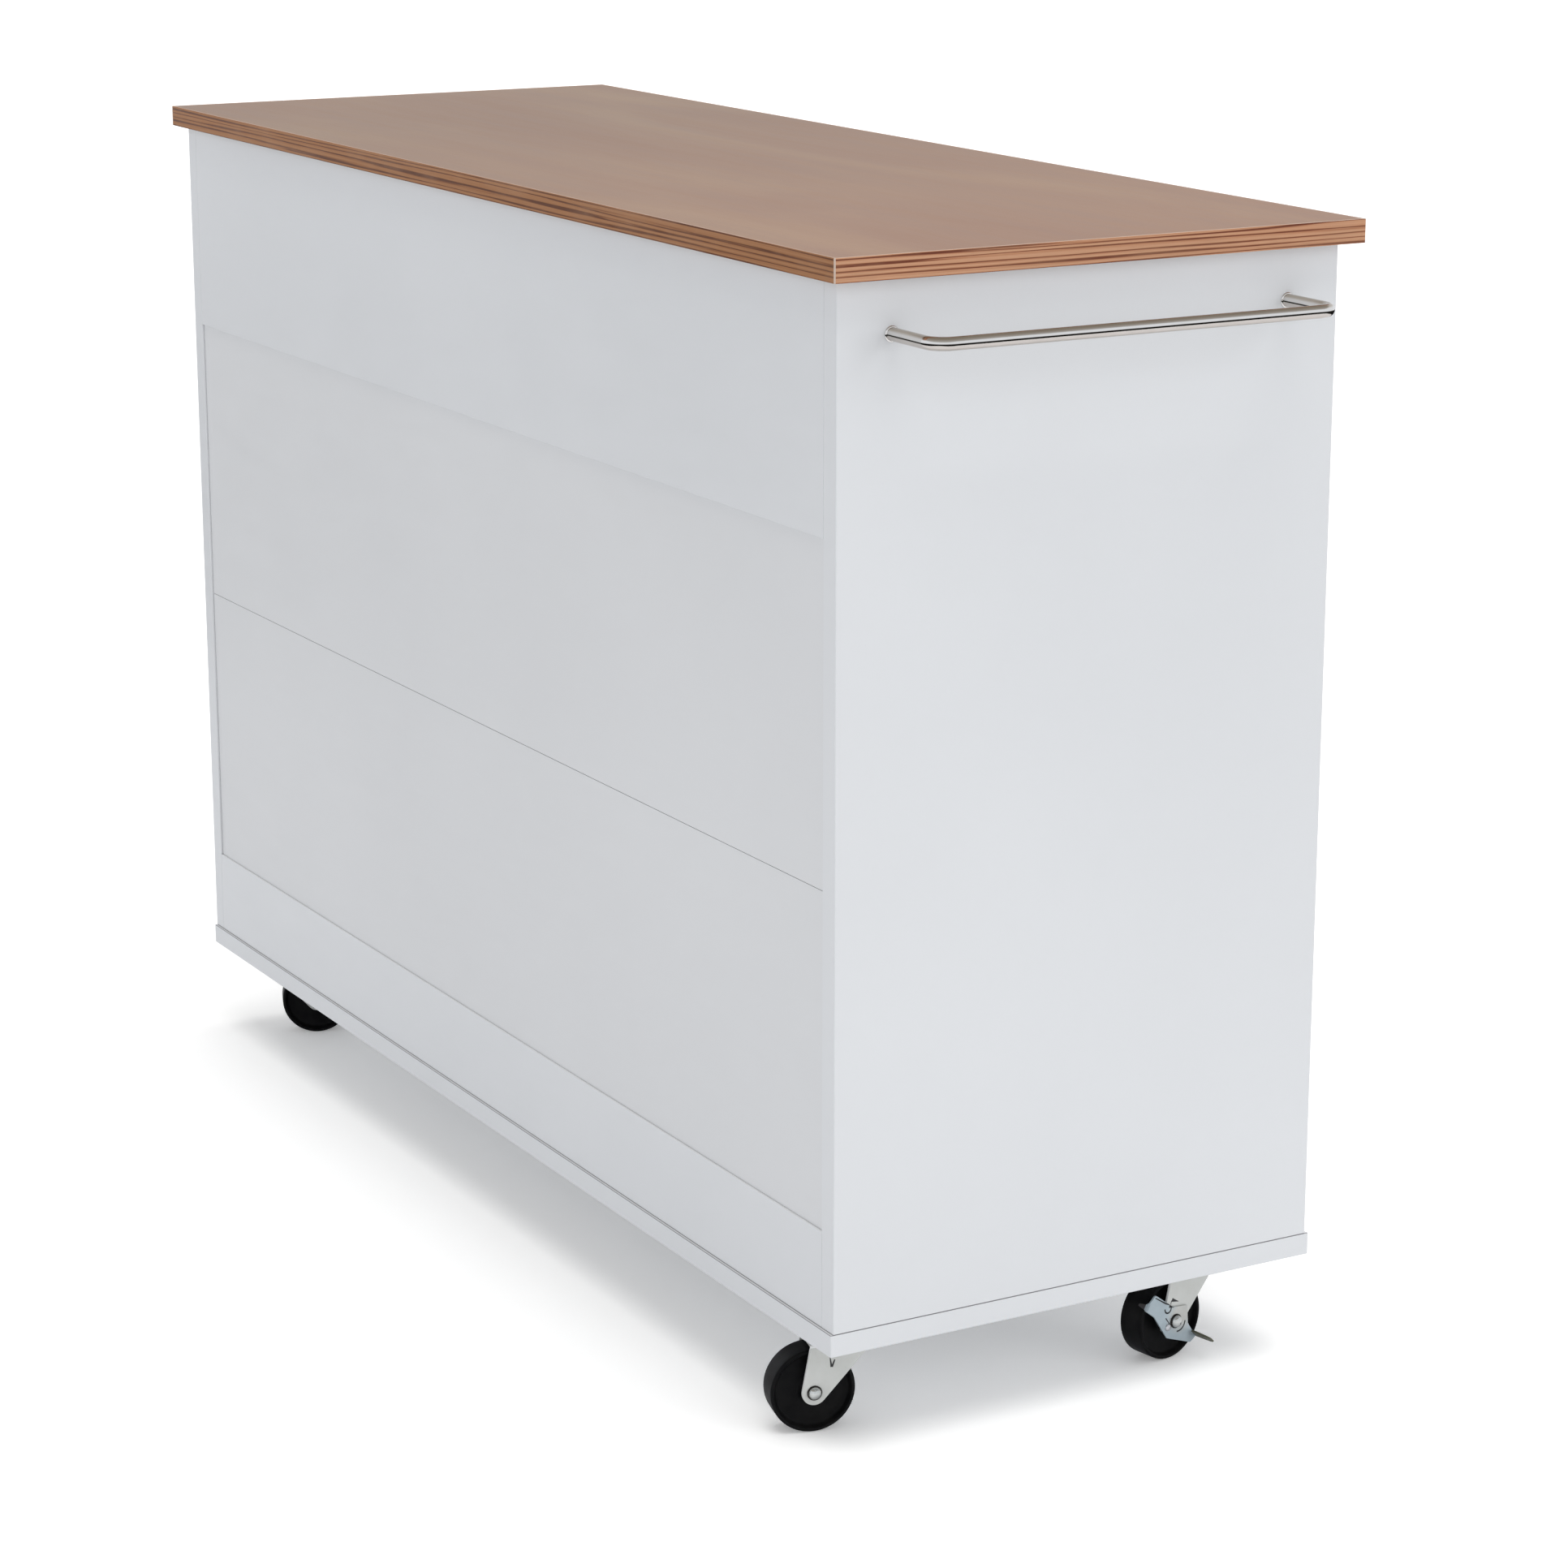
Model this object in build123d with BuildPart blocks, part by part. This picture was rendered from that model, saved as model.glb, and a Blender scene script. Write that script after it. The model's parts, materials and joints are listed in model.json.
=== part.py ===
from build123d import *

import os
from math import atan2, cos, degrees, radians, sin

# Rolling pantry cart: a white board cabinet on four casters, with a wood-look worktop,
# two drawers over two double-door bays, a shelf in each bay and a towel bar on the left end.
# Millimetres. The origin is on the floor under the middle of the cart's outer box.
# +X is the cart's right, -Y its door side, +Y its plain back and +Z is up.

# ---- Driving dimensions --------------------------------------------------------------------

# The cabinet body stands a little right of and behind the origin, because the towel bar
# reaches out on the left and the handles reach out in front.
BODY_X = 25.0
BODY_Y = 8.0
BODY_WIDTH = 1234.0
BODY_DEPTH = 436.0
COUNTER_HEIGHT = 914.0
CASTER_HEIGHT = 84.0
BOARD = 18.0
EASE = 0.5  # small chamfer along the edges of every board

TOP_OVER_END = 15.0
TOP_OVER_BACK = 10.0
TOP_OVER_FRONT = 14.0
BAND = 2.0  # thickness of the worktop's edge bands
BASE_OVER_FRONT = 3.5
BASE_OVER_BACK = 2.3

DRAWER_ZONE = 188.0  # from the drawer deck up to the worktop
BACK_BOTTOM_RAIL = 77.0
BACK_SEAM_HEIGHT = 360.0  # seam between the two back panels, above the base board's underside
BACK_SEAM_GAP = 0.4
BACK_PANEL = 3.0
BACK_PANEL_RECESS = 2.0
BACK_GROOVE = 5.0  # depth of the grooves that hold the back panels
FRONT_RAIL_DEPTH = 70.0

SHELF_SIDE_GAP = 1.0
SHELF_FRONT_GAP = 12.0  # from the inside of the closed doors
SHELF_PIN_RADIUS = 2.5
SHELF_PIN_HOLE = 9.0
SHELF_PIN_REACH = 8.0
SHELF_PIN_INSET = 45.0

# Towel bar
TOWEL_SPACING = 345.0
TOWEL_STANDOFF = 60.0
TOWEL_RADIUS = 5.0
TOWEL_BEND = 14.0
TOWEL_HEIGHT = 855.0
COLLAR_RADIUS = 6.8
COLLAR_THICK = 1.2

# Screws that hold the towel bar and the handles from the back of their boards
SCREW_RADIUS = 2.0
SCREW_BITE = 8.0
SCREW_HEAD_RADIUS = 4.0
SCREW_HEAD_THICK = 2.4

# Doors and drawer fronts, set inside the frame
REVEAL = 3.0
HANDLE_SPACING = 128.0
HANDLE_STANDOFF = 30.0
HANDLE_RADIUS = 5.0
HANDLE_BEND = 12.0
HANDLE_FROM_EDGE = 32.0
HANDLE_FROM_TOP = 110.0

# Butt hinges, with the knuckle in front of the door face
KNUCKLE_RADIUS = 3.5
KNUCKLE_OUT = 4.0
HINGE_PIN_RADIUS = 1.5
HINGE_CLEARANCE = 0.05
LEAF_THICK = 1.2
LEAF_HEIGHT = 51.0
LEAF_REACH = 17.0
KNUCKLE_GAP = 0.4
HINGE_FROM_END = 70.0

# Drawers
DRAWER_SIDE = 12.0
DRAWER_BOX_HEIGHT = 115.0
DRAWER_BOX_LIFT = 17.0
DRAWER_BOX_LENGTH = 370.0
DRAWER_BOTTOM = 5.0
DRAWER_BOTTOM_LIFT = 10.0
DRAWER_GROOVE = 4.0
SLIDE_GAP = 12.7
SLIDE_LENGTH = 350.0
SLIDE_HEIGHT = 45.0
SLIDE_SHEET = 1.2
SLIDE_FLANGE = 8.5
SLIDE_CLEARANCE = 0.5
SLIDE_FROM_FRONT = 2.0

# Casters
CASTER_FROM_END = 58.5
CASTER_FROM_BACK = 47.0
CASTER_FROM_FRONT = 71.5
TRAIL = 31.0
WHEEL_RADIUS = 34.0
WHEEL_WIDTH = 24.0
HUB_WIDTH = 26.0
HUB_RADIUS = 9.0
WEB_WIDTH = 13.0
RIM_LIP = 2.6
RIM_THICK = 5.5
TREAD_ROUND = 2.0
AXLE_RADIUS = 4.0
AXLE_CLEARANCE = 0.05
AXLE_HEAD_RADIUS = 6.0
AXLE_HEAD_THICK = 5.0
NUT_FLATS = 13.0
NUT_THICK = 5.0
AXLE_STUB = 1.5
FORK_GAP = 27.0
FORK_SHEET = 2.0
FORK_END_RADIUS = 10.0
FORK_BEND = 3.0
CROWN_TOP = 73.0
CROWN_FRONT = 13.0  # ahead of the kingpin
CROWN_BACK = 34.0  # behind the kingpin
CROWN_SKIRT = 5.0
CROWN_SHEET = 2.5
RACE_RADIUS = 12.5
RACE_TOP = 76.6
PLATE_LONG = 62.0
PLATE_SHORT = 54.0
PLATE_THICK = 2.5
PLATE_CORNER = 6.0
PLATE_BOSS_RADIUS = 17.0
PLATE_BOSS_BOTTOM = 77.0
KINGPIN_RADIUS = 5.0
KINGPIN_CLEARANCE = 0.05
KINGPIN_HEAD_RADIUS = 8.0
KINGPIN_HEAD_TOP = 70.3
KINGPIN_HEAD_THICK = 3.5
CASTER_SCREW_X = 46.0
CASTER_SCREW_Y = 38.0
CASTER_SCREW_RADIUS = 2.4
CASTER_SCREW_HEAD = 4.5
CASTER_SCREW_HEAD_THICK = 2.5
CASTER_SCREW_BITE = 14.0

# Side brake: a stamped lever on a rivet, outside the fork leg.
# Places are (behind the axle, above the axle).
BRAKE_SHEET = 1.8
BRAKE_PLAY = 0.1
BRAKE_PIVOT = (8.5, -3.5)
BRAKE_RIVET_RADIUS = 2.0
BRAKE_RIVET_HEAD = 3.0
BRAKE_RIVET_HEAD_THICK = 1.4
BRAKE_LUG_RADIUS = 5.0
BRAKE_AXLE_HOLE = (0.4, 0.95)
BRAKE_AXLE_HOLE_RADIUS = 5.35
BRAKE_SHOE_ANGLE = 31.0
BRAKE_SHOE_GAP = 2.0
BRAKE_SHOE_LENGTH = 6.5
BRAKE_SHOE_REACH = 9.0
BRAKE_TAB_REACH = 21.0
BRAKE_TAB_START = (-19.0, -12.2)
BRAKE_TAB_END = (-25.2, -18.2)
BRAKE_TOP_EDGE = ((27.6, 21.4), (21.2, 27.0), (3.0, 12.4), (-13.0, 7.4), (-14.0, -4.0))
BRAKE_LOW_EDGE = ((-17.4, -22.8), (9.6, -12.0), (22.6, 8.4))
BRAKE_CORNER = 1.6

# ---- Places worked out from them -----------------------------------------------------------

LEFT = BODY_X - BODY_WIDTH / 2
RIGHT = BODY_X + BODY_WIDTH / 2
FRONT = BODY_Y - BODY_DEPTH / 2
BACK = BODY_Y + BODY_DEPTH / 2
IN_LEFT = LEFT + BOARD
IN_RIGHT = RIGHT - BOARD
MID_LEFT = BODY_X - BOARD / 2
MID_RIGHT = BODY_X + BOARD / 2
DOOR_BACK = FRONT + BOARD

BASE_BOTTOM = CASTER_HEIGHT
BASE_TOP = BASE_BOTTOM + BOARD
TOP_UNDER = COUNTER_HEIGHT - BOARD
DECK_TOP = TOP_UNDER - DRAWER_ZONE
DECK_UNDER = DECK_TOP - BOARD
FRONT_RAIL_UNDER = TOP_UNDER - BOARD
BOTTOM_RAIL_TOP = BASE_TOP + BACK_BOTTOM_RAIL
RAIL_FRONT = BACK - BOARD
PANEL_BACK = BACK - BACK_PANEL_RECESS
PANEL_FRONT = PANEL_BACK - BACK_PANEL
SEAM = BASE_BOTTOM + BACK_SEAM_HEIGHT
BACK_PANELS = {
    "upper_back_panel": (SEAM + BACK_SEAM_GAP / 2, DECK_TOP + BACK_GROOVE),
    "lower_back_panel": (BOTTOM_RAIL_TOP - BACK_GROOVE, SEAM - BACK_SEAM_GAP / 2),
}
SHELF_UNDER = SEAM - BOARD / 2
SHELF_TOP = SHELF_UNDER + BOARD
SHELF_FRONT = DOOR_BACK + SHELF_FRONT_GAP
PIN_ROWS = (SHELF_FRONT + SHELF_PIN_INSET, PANEL_FRONT - SHELF_PIN_INSET)

TOP_LEFT = LEFT - TOP_OVER_END
TOP_RIGHT = RIGHT + TOP_OVER_END
TOP_FRONT = FRONT - TOP_OVER_FRONT
TOP_BACK = BACK + TOP_OVER_BACK
TOWEL_PLANE = Plane(origin=(LEFT, BODY_Y, TOWEL_HEIGHT), x_dir=(0, 1, 0), z_dir=(0, 0, 1))

BAYS = {"left": (IN_LEFT, MID_LEFT), "right": (MID_RIGHT, IN_RIGHT)}
# Each door: the face it hangs on, and which way it runs from there (+1 to the right).
DOORS = {
    "left_outer": (IN_LEFT, 1),
    "left_inner": (MID_LEFT, -1),
    "right_inner": (MID_RIGHT, 1),
    "right_outer": (IN_RIGHT, -1),
}
BAY_WIDTH = MID_LEFT - IN_LEFT
DOOR_WIDTH = (BAY_WIDTH - 3 * REVEAL) / 2
DOOR_BOTTOM = BASE_TOP + REVEAL
DOOR_TOP = DECK_UNDER - REVEAL
HINGE_Y = FRONT - KNUCKLE_OUT
HINGE_HEIGHTS = (DOOR_BOTTOM + HINGE_FROM_END, DOOR_TOP - HINGE_FROM_END)
DRAWER_LOW = DECK_TOP + REVEAL
DRAWER_HIGH = FRONT_RAIL_UNDER - REVEAL
BOX_LOW = DECK_TOP + DRAWER_BOX_LIFT
BOX_HIGH = BOX_LOW + DRAWER_BOX_HEIGHT
BOX_BACK = DOOR_BACK + DRAWER_BOX_LENGTH
SLIDE_MIDDLE = (BOX_LOW + BOX_HIGH) / 2

# Each caster: kingpin place, the heading its wheel trails along (degrees from +X), brake or not.
CASTERS = {
    "back_left": (LEFT + CASTER_FROM_END, BACK - CASTER_FROM_BACK, 76.0, False),
    "back_right": (RIGHT - CASTER_FROM_END, BACK - CASTER_FROM_BACK, 249.0, False),
    "front_left": (LEFT + CASTER_FROM_END, FRONT + CASTER_FROM_FRONT, 101.0, True),
    "front_right": (RIGHT - CASTER_FROM_END, FRONT + CASTER_FROM_FRONT, 277.0, True),
}
FORK_OUT = FORK_GAP / 2 + FORK_SHEET
BRAKE_IN = FORK_OUT + BRAKE_PLAY
BRAKE_OUT = BRAKE_IN + BRAKE_SHEET
FORK_CUT = 4 * WHEEL_RADIUS  # longer than the fork, to cut right through between its legs
HEAD_IN = BRAKE_OUT + BRAKE_PLAY  # underside of the axle and rivet heads over a brake lever


# ---- Helpers -------------------------------------------------------------------------------


def slab(x, y, z, mode=Mode.ADD):
    """A block between three pairs of limits, in the open part."""
    with BuildSketch(Plane.XY.offset(z[0])) as profile:
        with Locations(((x[0] + x[1]) / 2, (y[0] + y[1]) / 2)):
            Rectangle(x[1] - x[0], y[1] - y[0])
    extrude(profile.sketch, amount=z[1] - z[0], mode=mode)


def ease(part):
    """Breaks every edge of the board made so far."""
    chamfer(part.edges(), EASE)


def rod(plane, radius, length, mode=Mode.ADD):
    """A round bar or hole from a plane along its normal, in the open part."""
    with BuildSketch(plane) as profile:
        Circle(radius)
    extrude(profile.sketch, amount=length, mode=mode)


def bar_feet(plane, spacing):
    """Planes at the two feet of a bent bar that look into the board it stands on."""
    return [
        Plane(origin=plane.origin + plane.x_dir * end * spacing / 2, x_dir=plane.x_dir, z_dir=-plane.y_dir)
        for end in (-1, 1)
    ]


def bent_bar(plane, spacing, standoff, radius, bend):
    """A round bar bent to a U in the plane, with both feet on its X axis, bored for screws."""
    with BuildLine(plane) as path:
        FilletPolyline(
            (-spacing / 2, 0),
            (-spacing / 2, standoff),
            (spacing / 2, standoff),
            (spacing / 2, 0),
            radius=bend,
        )
    with BuildSketch(Plane(path.line @ 0, z_dir=path.line % 0)) as profile:
        Circle(radius)
    sweep(profile.sketch, path=path.line)
    for foot in bar_feet(plane, spacing):
        rod(foot, SCREW_RADIUS, -SCREW_BITE, Mode.SUBTRACT)


def bar_screw_holes(plane, spacing):
    """Holes in the open board for the screws of the bar that stands on it."""
    for foot in bar_feet(plane, spacing):
        rod(foot, SCREW_RADIUS, BOARD, Mode.SUBTRACT)


def bar_screws(plane, spacing):
    """Screws from the back of the board into the bar's two feet."""
    screws = []
    for foot in bar_feet(plane, spacing):
        with BuildPart() as screw:
            rod(foot.offset(-SCREW_BITE), SCREW_RADIUS, SCREW_BITE + BOARD)
            rod(foot.offset(BOARD), SCREW_HEAD_RADIUS, SCREW_HEAD_THICK)
            rim = screw.edges().sort_by(Axis(foot.origin, foot.z_dir))[-1]
            fillet(rim, SCREW_HEAD_THICK / 2)
        screws.append(screw.part)
    return screws


def save(part, name):
    part.label = name
    export_step(part, f"parts/{name}.step")


def save_group(solids, name):
    """Writes pieces of one kind that don't move apart as one node of separate solids."""
    save(Compound(children=solids), name)


def handle_and_screws(plane):
    with BuildPart() as handle:
        bent_bar(plane, HANDLE_SPACING, HANDLE_STANDOFF, HANDLE_RADIUS, HANDLE_BEND)
    return [handle.part, *bar_screws(plane, HANDLE_SPACING)]


# ---- Worktop -------------------------------------------------------------------------------


def worktop():
    with BuildPart() as board:
        slab(
            (TOP_LEFT + BAND, TOP_RIGHT - BAND),
            (TOP_FRONT + BAND, TOP_BACK - BAND),
            (TOP_UNDER, COUNTER_HEIGHT),
        )
    return board.part


def worktop_long_band(y):
    with BuildPart() as band:
        slab((TOP_LEFT + BAND, TOP_RIGHT - BAND), y, (TOP_UNDER, COUNTER_HEIGHT))
    return band.part


def worktop_end_band(outer_x, inner_x):
    """Runs over the ends of the long bands, with its two outer corners eased."""
    with BuildPart() as band:
        slab(sorted((outer_x, inner_x)), (TOP_FRONT, TOP_BACK), (TOP_UNDER, COUNTER_HEIGHT))
        corners = band.edges().filter_by(Axis.Z).filter_by_position(Axis.X, outer_x, outer_x)
        chamfer(corners, EASE)
    return band.part


def worktop_bands():
    return [
        worktop_long_band((TOP_FRONT, TOP_FRONT + BAND)),
        worktop_long_band((TOP_BACK - BAND, TOP_BACK)),
        worktop_end_band(TOP_LEFT, TOP_LEFT + BAND),
        worktop_end_band(TOP_RIGHT, TOP_RIGHT - BAND),
    ]


# ---- Carcass -------------------------------------------------------------------------------


def back_panel_block(z, mode=Mode.ADD):
    """The space a back panel takes: made solid for the panel, cut out for its grooves."""
    slab((IN_LEFT - BACK_GROOVE, IN_RIGHT + BACK_GROOVE), (PANEL_FRONT, PANEL_BACK), z, mode)


def back_panel(z):
    with BuildPart() as panel:
        back_panel_block(z)
    return panel.part


def shelf_pin_places(wall, outward):
    """Planes on a wall face that look into the bay, one for each shelf pin."""
    height = SHELF_UNDER - SHELF_PIN_RADIUS
    return [Plane(origin=(wall, y, height), x_dir=(0, 1, 0), z_dir=(outward, 0, 0)) for y in PIN_ROWS]


def shelf_pin_holes(wall, outward):
    for place in shelf_pin_places(wall, outward):
        rod(place, SHELF_PIN_RADIUS, -SHELF_PIN_HOLE, Mode.SUBTRACT)


def base_board():
    with BuildPart() as board:
        slab((LEFT, RIGHT), (FRONT - BASE_OVER_FRONT, BACK + BASE_OVER_BACK), (BASE_BOTTOM, BASE_TOP))
        ease(board)
        for place in caster_screw_places(BASE_BOTTOM):
            rod(place, CASTER_SCREW_RADIUS, CASTER_SCREW_BITE, Mode.SUBTRACT)
    return board.part


def side_panel(outer, inner):
    """A side panel from the base board to the worktop, grooved for the back panels."""
    outward = 1 if inner > outer else -1
    with BuildPart() as board:
        slab(sorted((outer, inner)), (FRONT, BACK), (BASE_TOP, TOP_UNDER))
        ease(board)
        back_panel_block((BOTTOM_RAIL_TOP - BACK_GROOVE, DECK_TOP + BACK_GROOVE), Mode.SUBTRACT)
        shelf_pin_holes(inner, outward)
        if outer == LEFT:
            bar_screw_holes(TOWEL_PLANE, TOWEL_SPACING)
    return board.part


def centre_partition():
    with BuildPart() as board:
        slab((MID_LEFT, MID_RIGHT), (FRONT, PANEL_FRONT), (BASE_TOP, DECK_UNDER))
        ease(board)
        slab((MID_LEFT, MID_RIGHT), (RAIL_FRONT, PANEL_FRONT), (BASE_TOP, BOTTOM_RAIL_TOP), Mode.SUBTRACT)
        shelf_pin_holes(MID_LEFT, -1)
        shelf_pin_holes(MID_RIGHT, 1)
    return board.part


def drawer_partition():
    with BuildPart() as board:
        slab((MID_LEFT, MID_RIGHT), (FRONT, RAIL_FRONT), (DECK_TOP, TOP_UNDER))
        ease(board)
        slab(
            (MID_LEFT, MID_RIGHT),
            (FRONT, FRONT + FRONT_RAIL_DEPTH),
            (FRONT_RAIL_UNDER, TOP_UNDER),
            Mode.SUBTRACT,
        )
    return board.part


def cross_board(y, z):
    """A board between the two side panels."""
    with BuildPart() as board:
        slab((IN_LEFT, IN_RIGHT), y, z)
        ease(board)
    return board.part


def back_rail(z, groove_z):
    """A back rail flush with the side panels, grooved along one edge for a back panel."""
    with BuildPart() as board:
        slab((IN_LEFT, IN_RIGHT), (RAIL_FRONT, BACK), z)
        ease(board)
        back_panel_block(groove_z, Mode.SUBTRACT)
    return board.part


def shelf(bay):
    left, right = bay
    with BuildPart() as board:
        slab(
            (left + SHELF_SIDE_GAP, right - SHELF_SIDE_GAP),
            (SHELF_FRONT, PANEL_FRONT),
            (SHELF_UNDER, SHELF_TOP),
        )
        ease(board)
    return board.part


def shelf_pin(place):
    """A round pin in its hole, that reaches under the shelf's end."""
    with BuildPart() as pin:
        rod(place.offset(-SHELF_PIN_HOLE), SHELF_PIN_RADIUS, SHELF_PIN_HOLE + SHELF_PIN_REACH)
    return pin.part


def shelf_pins():
    walls = [(wall, 1 if end == 0 else -1) for bay in BAYS.values() for end, wall in enumerate(bay)]
    return [shelf_pin(place) for wall, outward in walls for place in shelf_pin_places(wall, outward)]


# ---- Towel bar -----------------------------------------------------------------------------


def towel_bar():
    with BuildPart() as bar:
        bent_bar(TOWEL_PLANE, TOWEL_SPACING, TOWEL_STANDOFF, TOWEL_RADIUS, TOWEL_BEND)
    return bar.part


def towel_collars():
    """Thin washers round the bar's feet, against the side panel."""
    collars = []
    for foot in bar_feet(TOWEL_PLANE, TOWEL_SPACING):
        with BuildPart() as collar:
            rod(foot, COLLAR_RADIUS, -COLLAR_THICK)
            rim = collar.edges().sort_by(Axis.X)[0]
            fillet(rim, COLLAR_THICK / 2)
            rod(foot, TOWEL_RADIUS, -COLLAR_THICK, Mode.SUBTRACT)
        collars.append(collar.part)
    return collars


# ---- Drawers -------------------------------------------------------------------------------


def drawer_bottom_block(bay, mode=Mode.ADD):
    """The space a drawer bottom takes, held in grooves in the box and the front."""
    left, right = bay
    inset = SLIDE_GAP + DRAWER_SIDE - DRAWER_GROOVE
    z = BOX_LOW + DRAWER_BOTTOM_LIFT
    slab(
        (left + inset, right - inset),
        (DOOR_BACK - DRAWER_GROOVE, BOX_BACK - DRAWER_SIDE + DRAWER_GROOVE),
        (z, z + DRAWER_BOTTOM),
        mode,
    )


def drawer_front(bay):
    left, right = bay
    with BuildPart() as board:
        slab((left + REVEAL, right - REVEAL), (FRONT, DOOR_BACK), (DRAWER_LOW, DRAWER_HIGH))
        ease(board)
        drawer_bottom_block(bay, Mode.SUBTRACT)
        bar_screw_holes(drawer_handle_plane(bay), HANDLE_SPACING)
    return board.part


def drawer_box_board(bay, x, y):
    """One board of a drawer box: a side, or the back between the sides."""
    with BuildPart() as board:
        slab(x, y, (BOX_LOW, BOX_HIGH))
        drawer_bottom_block(bay, Mode.SUBTRACT)
    return board.part


def drawer_box(bay):
    left, right = bay
    out_left = left + SLIDE_GAP
    out_right = right - SLIDE_GAP
    sides_y = (DOOR_BACK, BOX_BACK)
    return [
        drawer_box_board(bay, (out_left, out_left + DRAWER_SIDE), sides_y),
        drawer_box_board(bay, (out_right - DRAWER_SIDE, out_right), sides_y),
        drawer_box_board(
            bay,
            (out_left + DRAWER_SIDE, out_right - DRAWER_SIDE),
            (BOX_BACK - DRAWER_SIDE, BOX_BACK),
        ),
    ]


def drawer_bottom(bay):
    with BuildPart() as board:
        drawer_bottom_block(bay)
    return board.part


def slide_channel(face, toward, height):
    """A steel channel against an upright face, with both flanges pointing away from it."""
    y = (DOOR_BACK + SLIDE_FROM_FRONT, DOOR_BACK + SLIDE_FROM_FRONT + SLIDE_LENGTH)
    web = sorted((face, face + toward * SLIDE_SHEET))
    flange = sorted((face, face + toward * (SLIDE_SHEET + SLIDE_FLANGE)))
    low = SLIDE_MIDDLE - height / 2
    high = SLIDE_MIDDLE + height / 2
    with BuildPart() as channel:
        slab(web, y, (low, high))
        slab(flange, y, (low, low + SLIDE_SHEET))
        slab(flange, y, (high - SLIDE_SHEET, high))
    return channel.part


def cabinet_rails(bay):
    left, right = bay
    return [slide_channel(left, 1, SLIDE_HEIGHT), slide_channel(right, -1, SLIDE_HEIGHT)]


def drawer_runners(bay):
    left, right = bay
    height = SLIDE_HEIGHT - 2 * SLIDE_SHEET - 2 * SLIDE_CLEARANCE
    return [
        slide_channel(left + SLIDE_GAP, -1, height),
        slide_channel(right - SLIDE_GAP, 1, height),
    ]


def drawer_handle_plane(bay):
    middle = (bay[0] + bay[1]) / 2
    height = (DRAWER_LOW + DRAWER_HIGH) / 2
    return Plane(origin=(middle, FRONT, height), x_dir=(1, 0, 0), z_dir=(0, 0, -1))


# ---- Doors ---------------------------------------------------------------------------------


def door_panel(face, run):
    near = face + run * REVEAL
    with BuildPart() as board:
        slab(sorted((near, near + run * DOOR_WIDTH)), (FRONT, DOOR_BACK), (DOOR_BOTTOM, DOOR_TOP))
        ease(board)
        bar_screw_holes(door_handle_plane(face, run), HANDLE_SPACING)
    return board.part


def door_handle_plane(face, run):
    x = face + run * (REVEAL + DOOR_WIDTH - HANDLE_FROM_EDGE)
    return Plane(origin=(x, FRONT, DOOR_TOP - HANDLE_FROM_TOP), x_dir=(0, 0, 1), z_dir=(1, 0, 0))


def hinge_leaf(pin_x, toward, low, knuckles, bore):
    """A leaf on one side of the pin. `knuckles` are the thirds of its height that it wraps."""
    third = LEAF_HEIGHT / 3
    plate = sorted((pin_x + toward * (REVEAL / 2 - LEAF_THICK), pin_x + toward * REVEAL / 2))
    clear = KNUCKLE_RADIUS + KNUCKLE_GAP
    with BuildPart() as leaf:
        slab(plate, (HINGE_Y, FRONT + LEAF_REACH), (low, low + LEAF_HEIGHT))
        for index in range(3):
            z = (low + index * third, low + (index + 1) * third)
            if index in knuckles:
                barrel = Plane(origin=(pin_x, HINGE_Y, z[0] + KNUCKLE_GAP / 2))
                rod(barrel, KNUCKLE_RADIUS, third - KNUCKLE_GAP)
            else:
                gap_z = (z[0] - KNUCKLE_GAP / 2, z[1] + KNUCKLE_GAP / 2)
                slab(plate, (HINGE_Y, HINGE_Y + clear), gap_z, Mode.SUBTRACT)
        rod(Plane(origin=(pin_x, HINGE_Y, low)), bore, LEAF_HEIGHT, Mode.SUBTRACT)
    return leaf.part


def door_hinge_leaves(face, run):
    pin_x = face + run * REVEAL / 2
    bore = HINGE_PIN_RADIUS + HINGE_CLEARANCE
    return [hinge_leaf(pin_x, run, z - LEAF_HEIGHT / 2, (1,), bore) for z in HINGE_HEIGHTS]


def cabinet_hinge_leaves(face, run):
    pin_x = face + run * REVEAL / 2
    return [hinge_leaf(pin_x, -run, z - LEAF_HEIGHT / 2, (0, 2), HINGE_PIN_RADIUS) for z in HINGE_HEIGHTS]


def hinge_pins(face, run):
    pins = []
    for z in HINGE_HEIGHTS:
        with BuildPart() as pin:
            foot = Plane(origin=(face + run * REVEAL / 2, HINGE_Y, z - LEAF_HEIGHT / 2))
            rod(foot, HINGE_PIN_RADIUS, LEAF_HEIGHT)
        pins.append(pin.part)
    return pins


# ---- Casters -------------------------------------------------------------------------------


def trail_direction(caster):
    heading = radians(caster[2])
    return Vector(cos(heading), sin(heading), 0)


def axle_direction(caster):
    heading = radians(caster[2])
    return Vector(-sin(heading), cos(heading), 0)


def axle_middle(caster):
    return Vector(caster[0], caster[1], WHEEL_RADIUS) + trail_direction(caster) * TRAIL


def swivel_plane(caster, height):
    """A level plane centred on the kingpin, with X along the trail."""
    return Plane(origin=(caster[0], caster[1], height), x_dir=trail_direction(caster), z_dir=(0, 0, 1))


def side_plane(caster, out, at=(0, 0)):
    """An upright plane beside the wheel that looks inwards: X is behind the axle, Y is above it.

    `out` is how far it stands from the wheel's middle, on the brake side; `at` moves its centre.
    """
    axle = axle_direction(caster)
    origin = axle_middle(caster) + axle * out + trail_direction(caster) * at[0] + Vector(0, 0, at[1])
    return Plane(origin=origin, x_dir=trail_direction(caster), z_dir=-axle)


def caster_screw_places(height):
    """The screw places of every caster plate, as planes that look up."""
    return [
        Plane(origin=(x + dx * CASTER_SCREW_X / 2, y + dy * CASTER_SCREW_Y / 2, height))
        for x, y, _, _ in CASTERS.values()
        for dx in (-1, 1)
        for dy in (-1, 1)
    ]


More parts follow.
